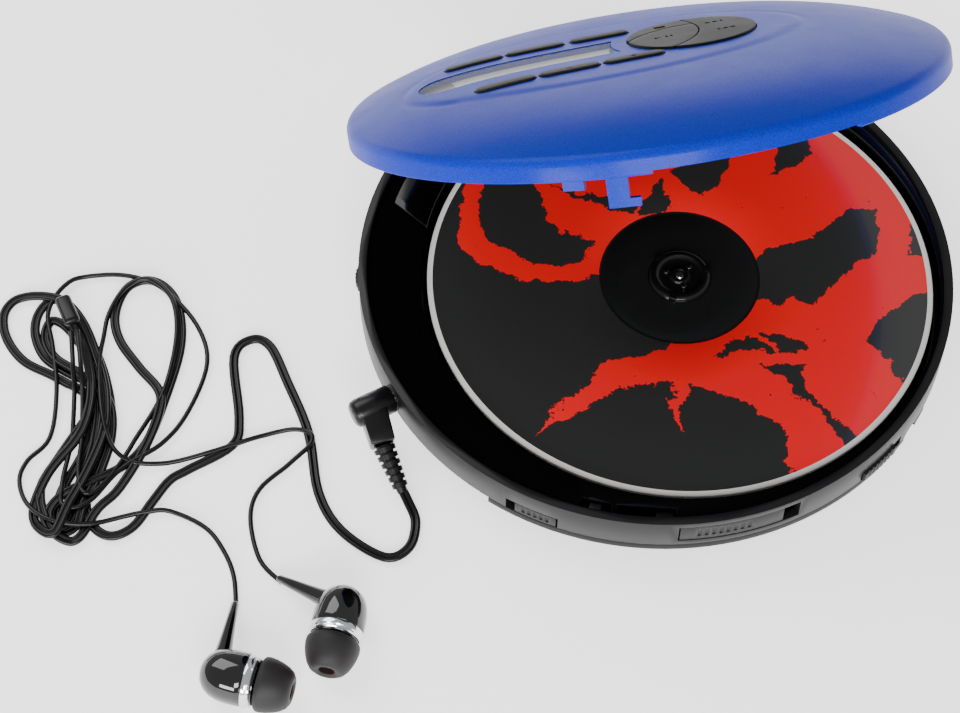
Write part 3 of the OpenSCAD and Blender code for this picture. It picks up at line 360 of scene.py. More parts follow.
# ---------------------------------------------------------------- earbuds
# Gloss black ABS shells with a chrome ring, a soft black silicone tip pressed on the nozzle and a
# tapered gloss relief that leaves the shell's side. All are turned; the shell's back is a dome.
bud_gloss = plastic("bud_gloss", "#060607", 0.07, grain=3.0, bump=0.02, IOR=1.53)
bud_gloss.node_tree.nodes["Principled BSDF"].inputs["Coat Weight"].default_value = 0.5
tip_silicone = plastic("tip_silicone", "#171719", 0.58, grain=0.35, bump=0.1, IOR=1.43)
tip_silicone.node_tree.nodes["Principled BSDF"].inputs["Subsurface Weight"].default_value = 0.08
chrome = plastic("chrome", "#E4E6E9", 0.12, grain=2.0, bump=0.02, Metallic=1.0)

shell_rings = [(0.3, -11.6), (1.6, -11.45), (3.0, -10.9), (4.2, -9.9), (5.2, -8.4), (5.75, -6.6), (5.98, -4.6),
               (6.0, -2.6), (5.9, -1.3), (5.55, -1.0)]
nozzle_rings = [(5.3, 0.6), (5.2, 1.3), (4.0, 1.7), (2.6, 1.8), (2.3, 2.6), (2.3, 6.2), (1.9, 6.5),
                (1.5, 6.2), (1.5, 4.4), (0.2, 4.3)]
ring_rings = [(5.5, -1.2), (6.0, -0.95), (6.12, -0.4), (6.0, 0.1), (5.75, 0.35), (5.75, 0.6),
              (5.9, 0.8), (5.6, 1.05), (5.0, 1.1)]
tip_rings = [(2.35, 2.4), (4.4, 2.0), (5.7, 1.9), (6.08, 2.3), (6.15, 3.2), (5.95, 4.6), (5.5, 6.2),
             (4.9, 7.6), (4.1, 8.7), (3.1, 9.3), (2.3, 9.35), (1.8, 9.0), (1.75, 7.0), (0.2, 6.9)]
neck_rings = [(2.7, -3.0), (2.35, 0), (2.0, 2), (1.75, 4.2), (1.5, 7), (1.2, 11)]
buds = {
    "left": dict(spot=(-113.2, -79.2, 6.15), along=(0.883, -0.469, 0),
                 neck=((-118.6, -72.6, 6.0), (-113.1, -57.4, 1.4))),
    "right": dict(spot=(-93.0, -72.3, 6.15), along=(-0.419, -0.908, 0),
                  neck=((-92.6, -63.8, 6.0), (-102.0, -53.4, 1.4))),
}
for side, bud in buds.items():
    shell = turned(side + "_bud_back", shell_rings, 64)
    nozzle = turned(side + "_bud_front", nozzle_rings, 48)
    shell = join([shell, nozzle], side + "_bud_shell")
    place(shell, bud["spot"], bud["along"])
    finish(shell, bud_gloss, "earphones", smooth=50)
    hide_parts(side + "_earbud")
    ring = turned(side + "_bud_ring", ring_rings, 64)
    place(ring, bud["spot"], bud["along"])
    finish(ring, chrome, "earphones", smooth=28)
    tip = turned(side + "_bud_tip", tip_rings, 64)
    place(tip, bud["spot"], bud["along"])
    finish(tip, tip_silicone, "earphones", smooth=50)
    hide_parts(side + "_eartip")
    top, low = (Vector(v) for v in bud["neck"])
    reach = (low - top).length
    neck = turned(side + "_bud_neck", neck_rings + [(0.95, reach), (0.62, reach + 0.6)], 40)
    place(neck, top, low - top)
    finish(neck, bud_gloss, "earphones", smooth=50)
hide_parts("bud_rings")
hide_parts("bud_reliefs")

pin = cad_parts["plug_tip"]
pin.data.materials.clear()
pin.data.materials.append(chrome)

# ---------------------------------------------------------------- cases
# Two black ABS mouldings, the lower one lightly textured, the upper one with a polished deck inside
# a satin side wall and rim. They are the frame's own solids with their moulded edges rounded off.


def softened(node_name, name, material, body, width=0.25, smooth=32):
    """Copy of a frame solid: doubles merged, flat faces joined, sharp edges rounded by width (mm)."""
    deselect()
    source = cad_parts[node_name]
    piece = source.copy()
    piece.data = source.data.copy()
    piece.name = name
    piece.parent = None
    piece.matrix_world.identity()
    bpy.context.collection.objects.link(piece)
    piece.hide_set(False)
    piece.select_set(True)
    bpy.context.view_layer.objects.active = piece
    bpy.ops.object.mode_set(mode="EDIT")
    bpy.ops.mesh.select_all(action="SELECT")
    bpy.ops.mesh.remove_doubles(threshold=0.002 * MM)
    bpy.ops.mesh.dissolve_limited(angle_limit=math.radians(0.6))
    bpy.ops.object.mode_set(mode="OBJECT")
    finish(piece, material, body, smooth=smooth, bevel=width)
    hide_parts(node_name)
    return piece


case_black = plastic("case_abs_textured", "#0B0B0C", 0.5, grain=0.45, bump=0.25, IOR=1.32)
# Upper case: gloss inside the rim, satin with a fine spark texture on the rim and the side wall
case_deck = plastic("case_abs_polished", "#08080A", 0.12, grain=1.5, bump=0.01, IOR=1.4)
tree = case_deck.node_tree
shader = tree.nodes["Principled BSDF"]
place_out = tree.nodes["Texture Coordinate"].outputs["Object"]
parts = add_node(case_deck, "SeparateXYZ", {"Vector": place_out})
flat = add_node(case_deck, "CombineXYZ", {"X": parts.outputs["X"], "Y": parts.outputs["Y"]})
radius = add_node(case_deck, "VectorMath", {0: flat.outputs["Vector"]}, operation="LENGTH")
RIM_INSIDE, RIM_OUTSIDE = 0.06815, 0.06845  # the finish changes between these radii, in metres
outside = add_node(case_deck, "MapRange", {"Value": radius.outputs["Value"], "From Min": RIM_INSIDE,
                                           "From Max": RIM_OUTSIDE})
gloss = tree.nodes["Map Range"].outputs["Result"]
satin = add_node(case_deck, "Mix", {"Factor": outside.outputs["Result"], "A": gloss, "B": 0.42})
tree.links.new(satin.outputs["Result"], shader.inputs["Roughness"])
grey = add_node(case_deck, "Mix", {"Factor": outside.outputs["Result"], "A": colour("#040405"),
                                   "B": colour("#0D0D0F")}, data_type="RGBA")
tree.links.new(grey.outputs["Result"], shader.inputs["Base Color"])
softened("bottom_case", "lower_case", case_black, "base", width=0.3)
softened("deck_case", "upper_case", case_deck, "base", width=0.22)
softened("battery_door", "battery_hatch", case_deck, "base", width=0.35)

# ---------------------------------------------------------------- lid
# One thin domed moulding in blue lacquered ABS: a shallow dome, a rounded shoulder and a short
# skirt, with a slightly raised oval field round the keys. Turned closed, cut for the display and
# the keys, then swung open about its hinge. The hooks and hinge ears stand on its rim.
LID_R, LID_LOW, DOME_LOW, DOME_RISE, DOME_R = 68.2, 16.8, 22.2, 6.9, 66.72
LID_WALL = 1.6
CUT_LOW, CUT_HIGH = 18, 34  # a cutter's ends, past both faces of the dome
EAR_X = 16.8
HINGE_Y, HINGE_Z = 67.5, 15.0
LID_OPEN = math.radians(39.5)
FIELD_MIDDLE, FIELD_HALF = Vector((-8.5, 0.0)), Vector((46.5, 28.0))
FIELD_RISE = 0.35


def dome_height(r):
    return DOME_LOW + DOME_RISE * (1 - min(r / DOME_R, 1.0) ** 4.2)


def swing_open(piece):
    """Turns a piece that was made with the lid closed to the open rest position."""
    activate(piece)
    turn_point = Vector((0, HINGE_Y, HINGE_Z)) * MM
    for vertex in piece.data.vertices:
        y, z = vertex.co.y - turn_point.y, vertex.co.z - turn_point.z
        vertex.co.y = turn_point.y + y * math.cos(LID_OPEN) + z * math.sin(LID_OPEN)
        vertex.co.z = turn_point.z - y * math.sin(LID_OPEN) + z * math.cos(LID_OPEN)


def cut(piece, cutter, operation="DIFFERENCE"):
    activate(piece)
    carve = piece.modifiers.new("carve", "BOOLEAN")
    carve.operation = operation
    carve.solver = "EXACT"
    carve.object = cutter
    bpy.ops.object.modifier_apply(modifier=carve.name)
    bpy.data.objects.remove(cutter)


def outline_block(name, outline, low, high):
    """Upright block over a closed outline of (x, y) points in millimetres, from low to high."""
    mesh = bpy.data.meshes.new(name)
    mesh.from_pydata([(x * MM, y * MM, low * MM) for x, y in outline], [], [list(range(len(outline)))])
    block = bpy.data.objects.new(name, mesh)
    bpy.context.collection.objects.link(block)
    activate(block)
    bpy.ops.object.mode_set(mode="EDIT")
    bpy.ops.mesh.select_all(action="SELECT")
    bpy.ops.mesh.extrude_region_move(TRANSFORM_OT_translate={"value": (0, 0, (high - low) * MM)})
    bpy.ops.mesh.select_all(action="SELECT")
    bpy.ops.mesh.normals_make_consistent(inside=False)
    bpy.ops.object.mode_set(mode="OBJECT")
    return block


def arc(middle, radius, start, end, count=16):
    turn = [math.radians(start + (end - start) * i / count) for i in range(count + 1)]
    return [(middle[0] + radius * math.cos(a), middle[1] + radius * math.sin(a)) for a in turn]


def bar_outline(x, y, grow=0.0, length=13.6, width=4.0):
    reach = length / 2 - width / 2
    return arc((x + reach, y), width / 2 + grow, -90, 90) + arc((x - reach, y), width / 2 + grow, 90, 270)


KEY_X, KEY_R, KEY_GAP = 12.0, 14.5, 0.3
BAR_Y = 14.0
bar_places = {
    "upper_left_button": (-35.9, BAR_Y), "upper_middle_button": (-21.4, BAR_Y), "upper_right_button": (-6.2, BAR_Y),
    "lower_left_button": (-34.0, -BAR_Y), "lower_middle_button": (-19.5, -BAR_Y), "lower_right_button": (-4.9, -BAR_Y),
}
DISPLAY_LOW, DISPLAY_HIGH, DISPLAY_LEFT, DISPLAY_BITE = -5.0, 7.2, -51.0, 18.5


def display_outline(grow=0.0):
    middle = (DISPLAY_LOW + DISPLAY_HIGH) / 2
    half = (DISPLAY_HIGH - DISPLAY_LOW) / 2 + grow
    bite = DISPLAY_BITE - grow
    high = math.degrees(math.asin((middle + half) / bite))
    low = math.degrees(math.asin((middle - half) / bite))
    left = arc((DISPLAY_LEFT + 6.1, middle), half, 90, 270, 24)
    return left + arc((KEY_X, 0), bite, 180 - low, 180 - high, 18)


inner_rings = [(0.4, dome_height(0) - LID_WALL)]
for i in range(1, 61):
    r = 65.2 * i / 60
    inner_rings.append((r, dome_height(r) - LID_WALL))
inner_rings += [(66.1, 21.2), (66.5, 20.4), (66.6, 19.4), (66.6, LID_LOW + 0.2), (66.8, LID_LOW)]
shoulder = [(LID_R, LID_LOW + 0.25), (LID_R, 18.6)]
SHOULDER_R, SHOULDER_TURN = 2.5, 66
shoulder_low = DOME_LOW - SHOULDER_R * math.sin(math.radians(SHOULDER_TURN))
for i in range(9):
    a = math.radians(SHOULDER_TURN * i / 8)
    shoulder.append((LID_R - SHOULDER_R * (1 - math.cos(a)), shoulder_low + SHOULDER_R * math.sin(a)))
outer_rings = [(LID_R - 0.25, LID_LOW)] + shoulder
for i in range(1, 93):
    r = 66.4 * (1 - i / 92) + 0.4
    outer_rings.append((r, dome_height(r)))
lid_skin = turned("lid_skin", inner_rings + outer_rings, 288)
for vertex in lid_skin.data.vertices:
    x, y, z = vertex.co / MM
    if z > dome_height(math.hypot(x, y)) - 0.4:
        away = math.hypot((x - FIELD_MIDDLE.x) / FIELD_HALF.x, (y - FIELD_MIDDLE.y) / FIELD_HALF.y)
        # The edge is crisp at the back and the left end, and fades into the dome in front
        crisp = min(1.0, max(0.15, (y + 12) / 10, (-44 - x) / 4))
        step = min(1.0, max(0.0, (1.0 - away) * (5 + 25 * crisp)))
        valley = math.exp(-(((away - 0.985) * 34) ** 2))
        vertex.co.z += (FIELD_RISE * step * step * (3 - 2 * step) - 0.2 * crisp * valley) * MM
cutters = [outline_block("cutter", arc((KEY_X, 0), KEY_R + KEY_GAP, 0, 357, 119), CUT_LOW, CUT_HIGH)]
cutters += [outline_block("cutter", bar_outline(x, y, KEY_GAP), CUT_LOW, CUT_HIGH) for x, y in bar_places.values()]
cutters += [outline_block("cutter", display_outline(0.12), CUT_LOW, CUT_HIGH)]
cut(lid_skin, join(cutters, "cutter"))


def ring_block(name, r0, r1, a0, a1, z0, z1, count=8):
    """Slice of an upright ring. Angles are in degrees from the front, positive to the right."""
    outer = [(r1 * math.sin(math.radians(a)), -r1 * math.cos(math.radians(a))) for a in
             [a0 + (a1 - a0) * i / count for i in range(count + 1)]]
    inner = [(r0 * math.sin(math.radians(a)), -r0 * math.cos(math.radians(a))) for a in
             [a1 - (a1 - a0) * i / count for i in range(count + 1)]]
    return outline_block(name, outer + inner, z0, z1)


# Shallow finger notch in the front of the skirt
cut(lid_skin, ring_block("notch", 60.0, 75.0, -13.5, 26.0, 15.0, LID_LOW + 0.8, 16))

HOOK_LOW = 10.4
hook = ring_block("hook", 65.9, 67.4, -21.7, -17.9, HOOK_LOW, 19.5)
barb = ring_block("barb", 65.9, 67.4, -18.2, -16.0, HOOK_LOW, HOOK_LOW + 1.8, 3)
cut(hook, barb, "UNION")
tab = ring_block("tab", 65.9, 67.4, -29.4, -25.6, 14.7, 19.5)
ears = []
for side in (-1, 1):
    ear = turned("ear", [(2.25, -2.2), (2.25, 2.2)], 40)
    place(ear, (side * EAR_X, HINGE_Y, HINGE_Z), (1, 0, 0))
    foot = outline_block("ear_foot", [(side * EAR_X + x, HINGE_Y + y) for x, y in
                                      ((-2.2, -2.1), (2.2, -2.1), (2.2, 0.3), (-2.2, 0.3))], HINGE_Z, 19.4)
    cut(ear, foot, "UNION")
    bore = turned("bore", [(1.06, -5), (1.06, 5)], 24)
    place(bore, (side * EAR_X, HINGE_Y, HINGE_Z), (1, 0, 0))
    cut(ear, bore)
    ears.append(ear)
knuckle_room = outline_block("room", [(-14.5, 63.5), (14.5, 63.5), (14.5, 75), (-14.5, 75)], 10, 17.75)
cut(lid_skin, knuckle_room)
for fitting in [hook, tab] + ears:
    swing_open(fitting)
swing_open(lid_skin)

# Blue lacquer over ABS: a deep body blue with fine metallic flake under a satin clear coat. It
# goes pale and grey-blue where it mirrors a lamp at a low angle.
lid_lacquer = plastic("blue_lacquer", "#0A38D2", 0.5, grain=0.25, bump=0.10, IOR=1.42)
tree = lid_lacquer.node_tree
shader = tree.nodes["Principled BSDF"]
shader.inputs["Specular IOR Level"].default_value = 0.08
shader.inputs["Coat Weight"].default_value = 0.16
shader.inputs["Coat Roughness"].default_value = 0.22
FLAKE = 0.28  # spacing of the flakes in millimetres, coarser than real ones so that they show
flake = add_node(lid_lacquer, "TexVoronoi", {"Vector": tree.nodes["Texture Coordinate"].outputs["Object"],
                                             "Scale": 1 / (FLAKE * MM)})
tint = add_node(lid_lacquer, "MapRange", {"Value": flake.outputs["Distance"], "From Max": 0.7,
                                          "To Min": 0.0, "To Max": 1.0})
body_tint = add_node(lid_lacquer, "Mix", {"Factor": tint.outputs["Result"], "A": colour("#0430C4"),
                                          "B": colour("#02209A")}, data_type="RGBA")
tree.links.new(body_tint.outputs["Result"], shader.inputs["Base Color"])
finish(lid_skin, lid_lacquer, "lid", smooth=32)
hook_lacquer = lid_lacquer.copy()
hook_lacquer.name = "blue_abs_rough"
hook_lacquer.node_tree.nodes["Bump"].inputs["Strength"].default_value = 0.6
lid_fittings = join([hook, tab] + ears, "lid_fittings")
finish(lid_fittings, hook_lacquer, "lid", smooth=32, bevel=0.22)
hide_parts("lid_shell")

# ---------------------------------------------------------------- keys
# Warm dark-grey moulded ABS keys with a fine spark finish, crowned with the dome and rounded at
# their edges: six bars, and a round cluster cut by two arcs into a crescent, a play key and a
# rocker. Their symbols are pressed in as shallow recesses.
key_grey = plastic("key_abs", "#171615", 0.55, grain=0.3, bump=0.22, Specular_IOR_Level=0.22)
KEY_RISE = 0.9  # a key's top over the dome
CROWN_STEP = 1.6  # a key's top is divided this finely, so that it can follow the dome
PLAY_MIDDLE, PLAY_R = (11.5, -9.0), 17.0
SPLIT_MIDDLE, SPLIT_R = (-8.0, 6.0), 22.6
SEAM = 0.17


def crowned(name, outline, rise, depth=2.4, edge=0.45):
    """Key over an outline in millimetres: its cap is pushed up to follow the dome."""
    key = outline_block(name, outline, 0, depth)
    activate(key)
    bpy.ops.object.mode_set(mode="EDIT")
    for axis in (0, 1):
        spots = [point[axis] for point in outline]
        low, wide = min(spots), max(spots) - min(spots)
        count = max(2, int(wide / CROWN_STEP))
        normal = [1 - axis, axis, 0]
        for i in range(1, count):
            at = (low + wide * i / count) * MM
            bpy.ops.mesh.select_all(action="SELECT")
            bpy.ops.mesh.bisect(plane_co=[at * n for n in normal], plane_no=normal)
    bpy.ops.object.mode_set(mode="OBJECT")
    soften = key.modifiers.new("soften", "BEVEL")
    soften.width = edge * MM
    soften.segments = 3
    soften.limit_method = "ANGLE"
    soften.angle_limit = math.radians(50)
    bpy.ops.object.modifier_apply(modifier="soften")
    for vertex in key.data.vertices:
        x, y, z = vertex.co / MM
        vertex.co.z = (dome_height(math.hypot(x, y)) + rise - depth + z) * MM
    return key


def sunk(key, outline, depth=0.25):
    """Presses a symbol's outline into the top of a key, following the dome."""
    middle = sum((Vector(p) for p in outline), Vector((0, 0))) / len(outline)
    top = dome_height(middle.length) + KEY_RISE
    cut(key, outline_block("symbol", outline, top - depth, top + 3))


def box_outline(x, y, w, h):
    return [(x - w / 2, y - h / 2), (x + w / 2, y - h / 2), (x + w / 2, y + h / 2), (x - w / 2, y + h / 2)]


def circle_crossing(m0, r0, m1, r1):
    """The two points where two circles cross."""
    a, b = Vector(m0), Vector(m1)
    d = (b - a).length
    along = (r0 * r0 - r1 * r1 + d * d) / (2 * d)
    high = math.sqrt(max(0.0, r0 * r0 - along * along))
    step = (b - a) / d
    foot = a + step * along
    return foot + Vector((-step.y, step.x)) * high, foot - Vector((-step.y, step.x)) * high


def arc_between(middle, radius, start, end, clockwise=False, count=20):
    a0 = math.degrees(math.atan2(start[1] - middle[1], start[0] - middle[0]))
    a1 = math.degrees(math.atan2(end[1] - middle[1], end[0] - middle[0]))
    if clockwise and a1 > a0:
        a1 -= 360
    if not clockwise and a1 < a0:
        a1 += 360
    return arc(middle, radius, a0, a1, count)


cluster = (KEY_X, 0.0)
# Rocker: the part of the cluster outside the split circle
high, low = circle_crossing(cluster, KEY_R, SPLIT_MIDDLE, SPLIT_R + SEAM)
high, low = sorted((high, low), key=lambda p: -p.y)
rocker = (arc_between(cluster, KEY_R, low, high, count=44)
          + arc_between(SPLIT_MIDDLE, SPLIT_R + SEAM, high, low, True, 26)[1:-1])
# Play key: inside the cluster, the play circle and the split circle
split_top = max(circle_crossing(PLAY_MIDDLE, PLAY_R - SEAM, SPLIT_MIDDLE, SPLIT_R - SEAM), key=lambda p: p.y)
split_low = min(circle_crossing(cluster, KEY_R, SPLIT_MIDDLE, SPLIT_R - SEAM), key=lambda p: p.y)
left = min(circle_crossing(cluster, KEY_R, PLAY_MIDDLE, PLAY_R - SEAM), key=lambda p: p.x)
play = (arc_between(SPLIT_MIDDLE, SPLIT_R - SEAM, split_low, split_top, count=18)
        + arc_between(PLAY_MIDDLE, PLAY_R - SEAM, split_top, left, count=18)[1:]
        + arc_between(cluster, KEY_R, left, split_low, count=24)[1:-1])
# Stop key: the crescent above the play circle, left of the split
stop_left = min(circle_crossing(cluster, KEY_R, PLAY_MIDDLE, PLAY_R + SEAM), key=lambda p: p.x)
stop_top = max(circle_crossing(cluster, KEY_R, SPLIT_MIDDLE, SPLIT_R - SEAM), key=lambda p: p.y)
stop_low = max(circle_crossing(PLAY_MIDDLE, PLAY_R + SEAM, SPLIT_MIDDLE, SPLIT_R - SEAM), key=lambda p: p.y)
stop = (arc_between(cluster, KEY_R, stop_top, stop_left, count=20)
        + arc_between(PLAY_MIDDLE, PLAY_R + SEAM, stop_left, stop_low, True, 18)[1:]
        + arc_between(SPLIT_MIDDLE, SPLIT_R - SEAM, stop_low, stop_top, count=8)[1:-1])


def arrow_pair(x, y, facing):
    """Two triangles and a bar, the usual sign for skipping a track."""
    shapes = []
    for i in range(2):
        back = x + facing * (i - 1) * 1.7
        shapes.append([(back, y - 0.8), (back + facing * 1.5, y), (back, y + 0.8)][:: 1 if facing > 0 else -1])
    shapes.append(box_outline(x + facing * 2.0, y, 0.45, 1.6))
    return shapes


key_shapes = {
    "stop_key": (stop, [box_outline(7.2, 10.0, 2.6, 1.6)]),
    "play_key": (play, [[(3.2, -1.8), (4.8, -1.0), (3.2, -0.2)], box_outline(6.0, -1.0, 0.5, 1.6),
                        box_outline(7.1, -1.0, 0.5, 1.6)]),
    "skip_key": (rocker, arrow_pair(18.6, 5.6, 1) + arrow_pair(19.6, -3.2, -1)),
}
for name, (x, y) in bar_places.items():
    signs = []
    if name == "lower_right_button":
        signs = [box_outline(x, y, 1.5, 0.4), box_outline(x, y, 0.4, 1.5)]
    if name == "lower_middle_button":
        signs = [box_outline(x, y, 1.5, 0.4)]
    key_shapes[name] = (bar_outline(x, y), signs)
for name, (outline, signs) in key_shapes.items():
    key = crowned(name + "_cap", outline, KEY_RISE)
    for sign in signs:
        sunk(key, sign)
    swing_open(key)
    finish(key, key_grey, name, smooth=38)
    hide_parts(name)

# ---------------------------------------------------------------- display
# Clear acrylic window let into the dome over a silver-grey reflective display, whose left end is
# masked in a darker grey.
MASK_END = -42.5
window_clear = plastic("window_acrylic", "#F2F5F4", 0.05, grain=4.0, bump=0.0, IOR=1.49)
window_clear.node_tree.nodes["Principled BSDF"].inputs["Alpha"].default_value = 0.1
window = crowned("window", display_outline(0.0), 0.22, depth=1.2, edge=0.3)
swing_open(window)
finish(window, window_clear, "lid", smooth=38)
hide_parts("display_window")

lcd_silver = plastic("lcd_cell", "#B9BAB4", 0.4, grain=0.3, bump=0.03)
lcd_mask = plastic("lcd_mask", "#3B3A36", 0.45, grain=0.3, bump=0.05)
lcd = crowned("lcd_face", display_outline(-0.25), -1.15, depth=0.5, edge=0.1)
masked = [face.index for face in lcd.data.polygons if face.center.x < MASK_END * MM]
swing_open(lcd)
finish(lcd, lcd_silver, "lid", smooth=38)
lcd.data.materials.append(lcd_mask)
for index in masked:
    lcd.data.polygons[index].material_index = 1

# ---------------------------------------------------------------- disc
# A 120 mm polycarbonate disc, moulded clear with a stacking ring near its hub, mirror-coated inside
# and printed on top. The print is an abstract one: ragged red brush strokes on charcoal.
SPINDLE = Vector((5.5, -2.5))
DISC_Z = 12.0
disc_rings = [(7.5, 1.2), (7.5, 0.0), (16.5, 0.0), (16.7, -0.18), (17.3, -0.18), (17.5, 0.0),
              (59.85, 0.0), (60.0, 0.15), (60.0, 1.05), (59.85, 1.2), (46.0, 1.2), (30.0, 1.2),
              (18.9, 1.2), (18.7, 1.12), (18.3, 1.12), (18.1, 1.2), (13.0, 1.2), (7.5, 1.2)]
PRINT_R, CLAMP_R = 0.0587, 0.0191  # the print's outer edge and the dark clamping area, in metres
RAGGED = 0.022  # how far the strokes' edges stray, in metres
disc = turned("printed_disc", disc_rings, 192, closed=False)
activate(disc)
bpy.ops.object.mode_set(mode="EDIT")
bpy.ops.mesh.select_all(action="SELECT")
bpy.ops.mesh.remove_doubles(threshold=0.01 * MM)
bpy.ops.mesh.normals_make_consistent(inside=False)
bpy.ops.object.mode_set(mode="OBJECT")
place(disc, (SPINDLE.x, SPINDLE.y, DISC_Z), (0, 0, 1))

disc_print = bpy.data.materials.new("disc_print")
disc_print.use_nodes = True
tree = disc_print.node_tree
shader = tree.nodes["Principled BSDF"]
spot = add_node(disc_print, "TexCoord").outputs["Object"]
centred = add_node(disc_print, "VectorMath", {0: spot, 1: (SPINDLE.x * MM, SPINDLE.y * MM, 0)}, operation="SUBTRACT")
parts = add_node(disc_print, "SeparateXYZ", {"Vector": centred.outputs["Vector"]})
flat = add_node(disc_print, "CombineXYZ", {"X": parts.outputs["X"], "Y": parts.outputs["Y"]})
radius = add_node(disc_print, "VectorMath", {0: flat.outputs["Vector"]}, operation="LENGTH").outputs["Value"]
warp = add_node(disc_print, "TexNoise", {"Vector": flat.outputs["Vector"], "Scale": 34.0, "Detail": 7.0,
                                         "Roughness": 0.66})
shift = add_node(disc_print, "VectorMath", {0: warp.outputs["Color"], 1: (0.5, 0.5, 0.5)}, operation="SUBTRACT")
amount = add_node(disc_print, "VectorMath", {0: shift.outputs["Vector"], "Scale": RAGGED},
                  operation="SCALE")
bent = add_node(disc_print, "VectorMath", {0: flat.outputs["Vector"], 1: amount.outputs["Vector"]}, operation="ADD")


def stroke(middle, reach, width, seen):
    """One ragged ring-shaped brush stroke: near a circle of the given reach, on one side of it."""
    from_middle = add_node(disc_print, "VectorMath", {0: bent.outputs["Vector"],
                                                      1: (*[v * MM for v in middle], 0)}, operation="SUBTRACT")
    away = add_node(disc_print, "VectorMath", {0: from_middle.outputs["Vector"]}, operation="LENGTH")
    off = add_node(disc_print, "Math", {0: away.outputs["Value"], 1: reach * MM}, operation="SUBTRACT")
    off = add_node(disc_print, "Math", {0: off.outputs["Value"]}, operation="ABSOLUTE")
    thick = add_node(disc_print, "VectorMath", {0: from_middle.outputs["Vector"], 1: (*seen, 0)},
                     operation="DOT_PRODUCT")
    room = add_node(disc_print, "MapRange", {"Value": thick.outputs["Value"], "From Min": -0.6 * reach * MM,
                                             "From Max": 0.9 * reach * MM, "To Min": -0.1 * width * MM,
                                             "To Max": width * MM})
    return add_node(disc_print, "Math", {0: room.outputs["Result"], 1: off.outputs["Value"]},
                    operation="GREATER_THAN").outputs["Value"]


strokes = [
    stroke((-24, 28), 20, 3.4, (-0.6, -0.8)), stroke((26, 34), 22, 9.0, (0.5, -0.8)),
    stroke((38, -10), 27, 7.0, (-0.2, 1.0)), stroke((12, -42), 26, 5.5, (0.5, 0.85)),
    stroke((-18, -56), 34, 5.5, (0.9, 0.4)), stroke((2, 44), 30, 6.0, (0.3, -1.0)),
    stroke((52, -38), 24, 8.0, (-0.8, 0.6)), stroke((-6, 52), 22, 5.0, (0.4, -0.9)),
    stroke((20, 8), 36, 3.0, (0.9, -0.5)),
]
total = strokes[0]
for more in strokes[1:]:
    total = add_node(disc_print, "Math", {0: total, 1: more}, operation="MAXIMUM").outputs["Value"]
speck = add_node(disc_print, "TexNoise", {"Vector": flat.outputs["Vector"], "Scale": 420.0, "Detail": 3.0})
holes = add_node(disc_print, "Math", {0: speck.outputs["Fac"], 1: 0.27}, operation="GREATER_THAN")
red = add_node(disc_print, "Math", {0: total, 1: holes.outputs["Value"]}, operation="MULTIPLY")
inked = add_node(disc_print, "Mix", {"Factor": red.outputs["Value"], "A": colour("#2B2C2B"),
                                     "B": colour("#FA0E1C")}, data_type="RGBA")
printed = add_node(disc_print, "Math", {0: radius, 1: PRINT_R}, operation="LESS_THAN")
edge = add_node(disc_print, "Mix", {"Factor": printed.outputs["Value"], "A": colour("#F4F2EC"),
                                    "B": inked.outputs["Result"]}, data_type="RGBA")
inner = add_node(disc_print, "Math", {0: radius, 1: CLAMP_R}, operation="LESS_THAN")
tone = add_node(disc_print, "Mix", {"Factor": inner.outputs["Value"], "A": edge.outputs["Result"],
                                    "B": colour("#141516")}, data_type="RGBA")
tree.links.new(tone.outputs["Result"], shader.inputs["Base Color"])
shader.inputs["Roughness"].default_value = 0.22
shader.inputs["IOR"].default_value = 1.58
shader.inputs["Coat Weight"].default_value = 0.6
shader.inputs["Coat Roughness"].default_value = 0.06
finish(disc, disc_print, "disc", smooth=30)
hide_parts("disc")

# ---------------------------------------------------------------- hub
# Black acetal hub on the spindle motor: a dished clamp with a raised rim, three sprung pips that
# grip the disc's bore and the end of the steel shaft at its centre.
hub_black = plastic("hub_acetal", "#0A0A0B", 0.2, grain=0.8, bump=0.04, IOR=1.48)
hub_rings = [(12.3, -1.1), (12.3, -0.2), (12.1, -0.02), (7.45, -0.02), (7.4, 1.2), (7.1, 1.9), (6.3, 2.35), (5.6, 2.3),
             (5.0, 1.75), (4.2, 1.6), (2.4, 1.6), (2.2, 2.1), (1.4, 2.2), (1.3, 1.7), (0.3, 1.7)]
hub = turned("hub_clamp", [(0.3, -1.1)] + hub_rings, 96)
pips = []
for i in range(3):
    a = math.radians(90 + 120 * i)
    pip = turned("pip", [(0.75, 0.0), (0.75, 0.6), (0.55, 0.85), (0.1, 0.95)], 20)
    place(pip, (3.3 * math.cos(a), 3.3 * math.sin(a), 1.5), (0, 0, 1))
    pips.append(pip)
    claw = outline_block("claw", [(-0.9, 5.9), (0.9, 5.9), (0.9, 7.42), (-0.9, 7.42)], 1.2, 2.55)
    for vertex in claw.data.vertices:
        x, y = vertex.co.x, vertex.co.y
        vertex.co.x = x * math.cos(a) - y * math.sin(a)
        vertex.co.y = x * math.sin(a) + y * math.cos(a)
    pips.append(claw)
hub = join([hub] + pips, "hub_clamp")
place(hub, (SPINDLE.x, SPINDLE.y, DISC_Z), (0, 0, 1))
finish(hub, hub_black, "turntable", smooth=36, bevel=0.12)
shaft = turned("spindle_shaft", [(1.0, -9.0), (1.0, 1.85), (0.85, 2.0), (0.2, 2.02)], 32)
place(shaft, (SPINDLE.x, SPINDLE.y, DISC_Z), (0, 0, 1))
motor_steel = plastic("bright_steel", "#BFC1C4", 0.22, grain=0.6, bump=0.05, Metallic=1.0)
finish(shaft, motor_steel, "turntable", smooth=30)
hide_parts("turntable")

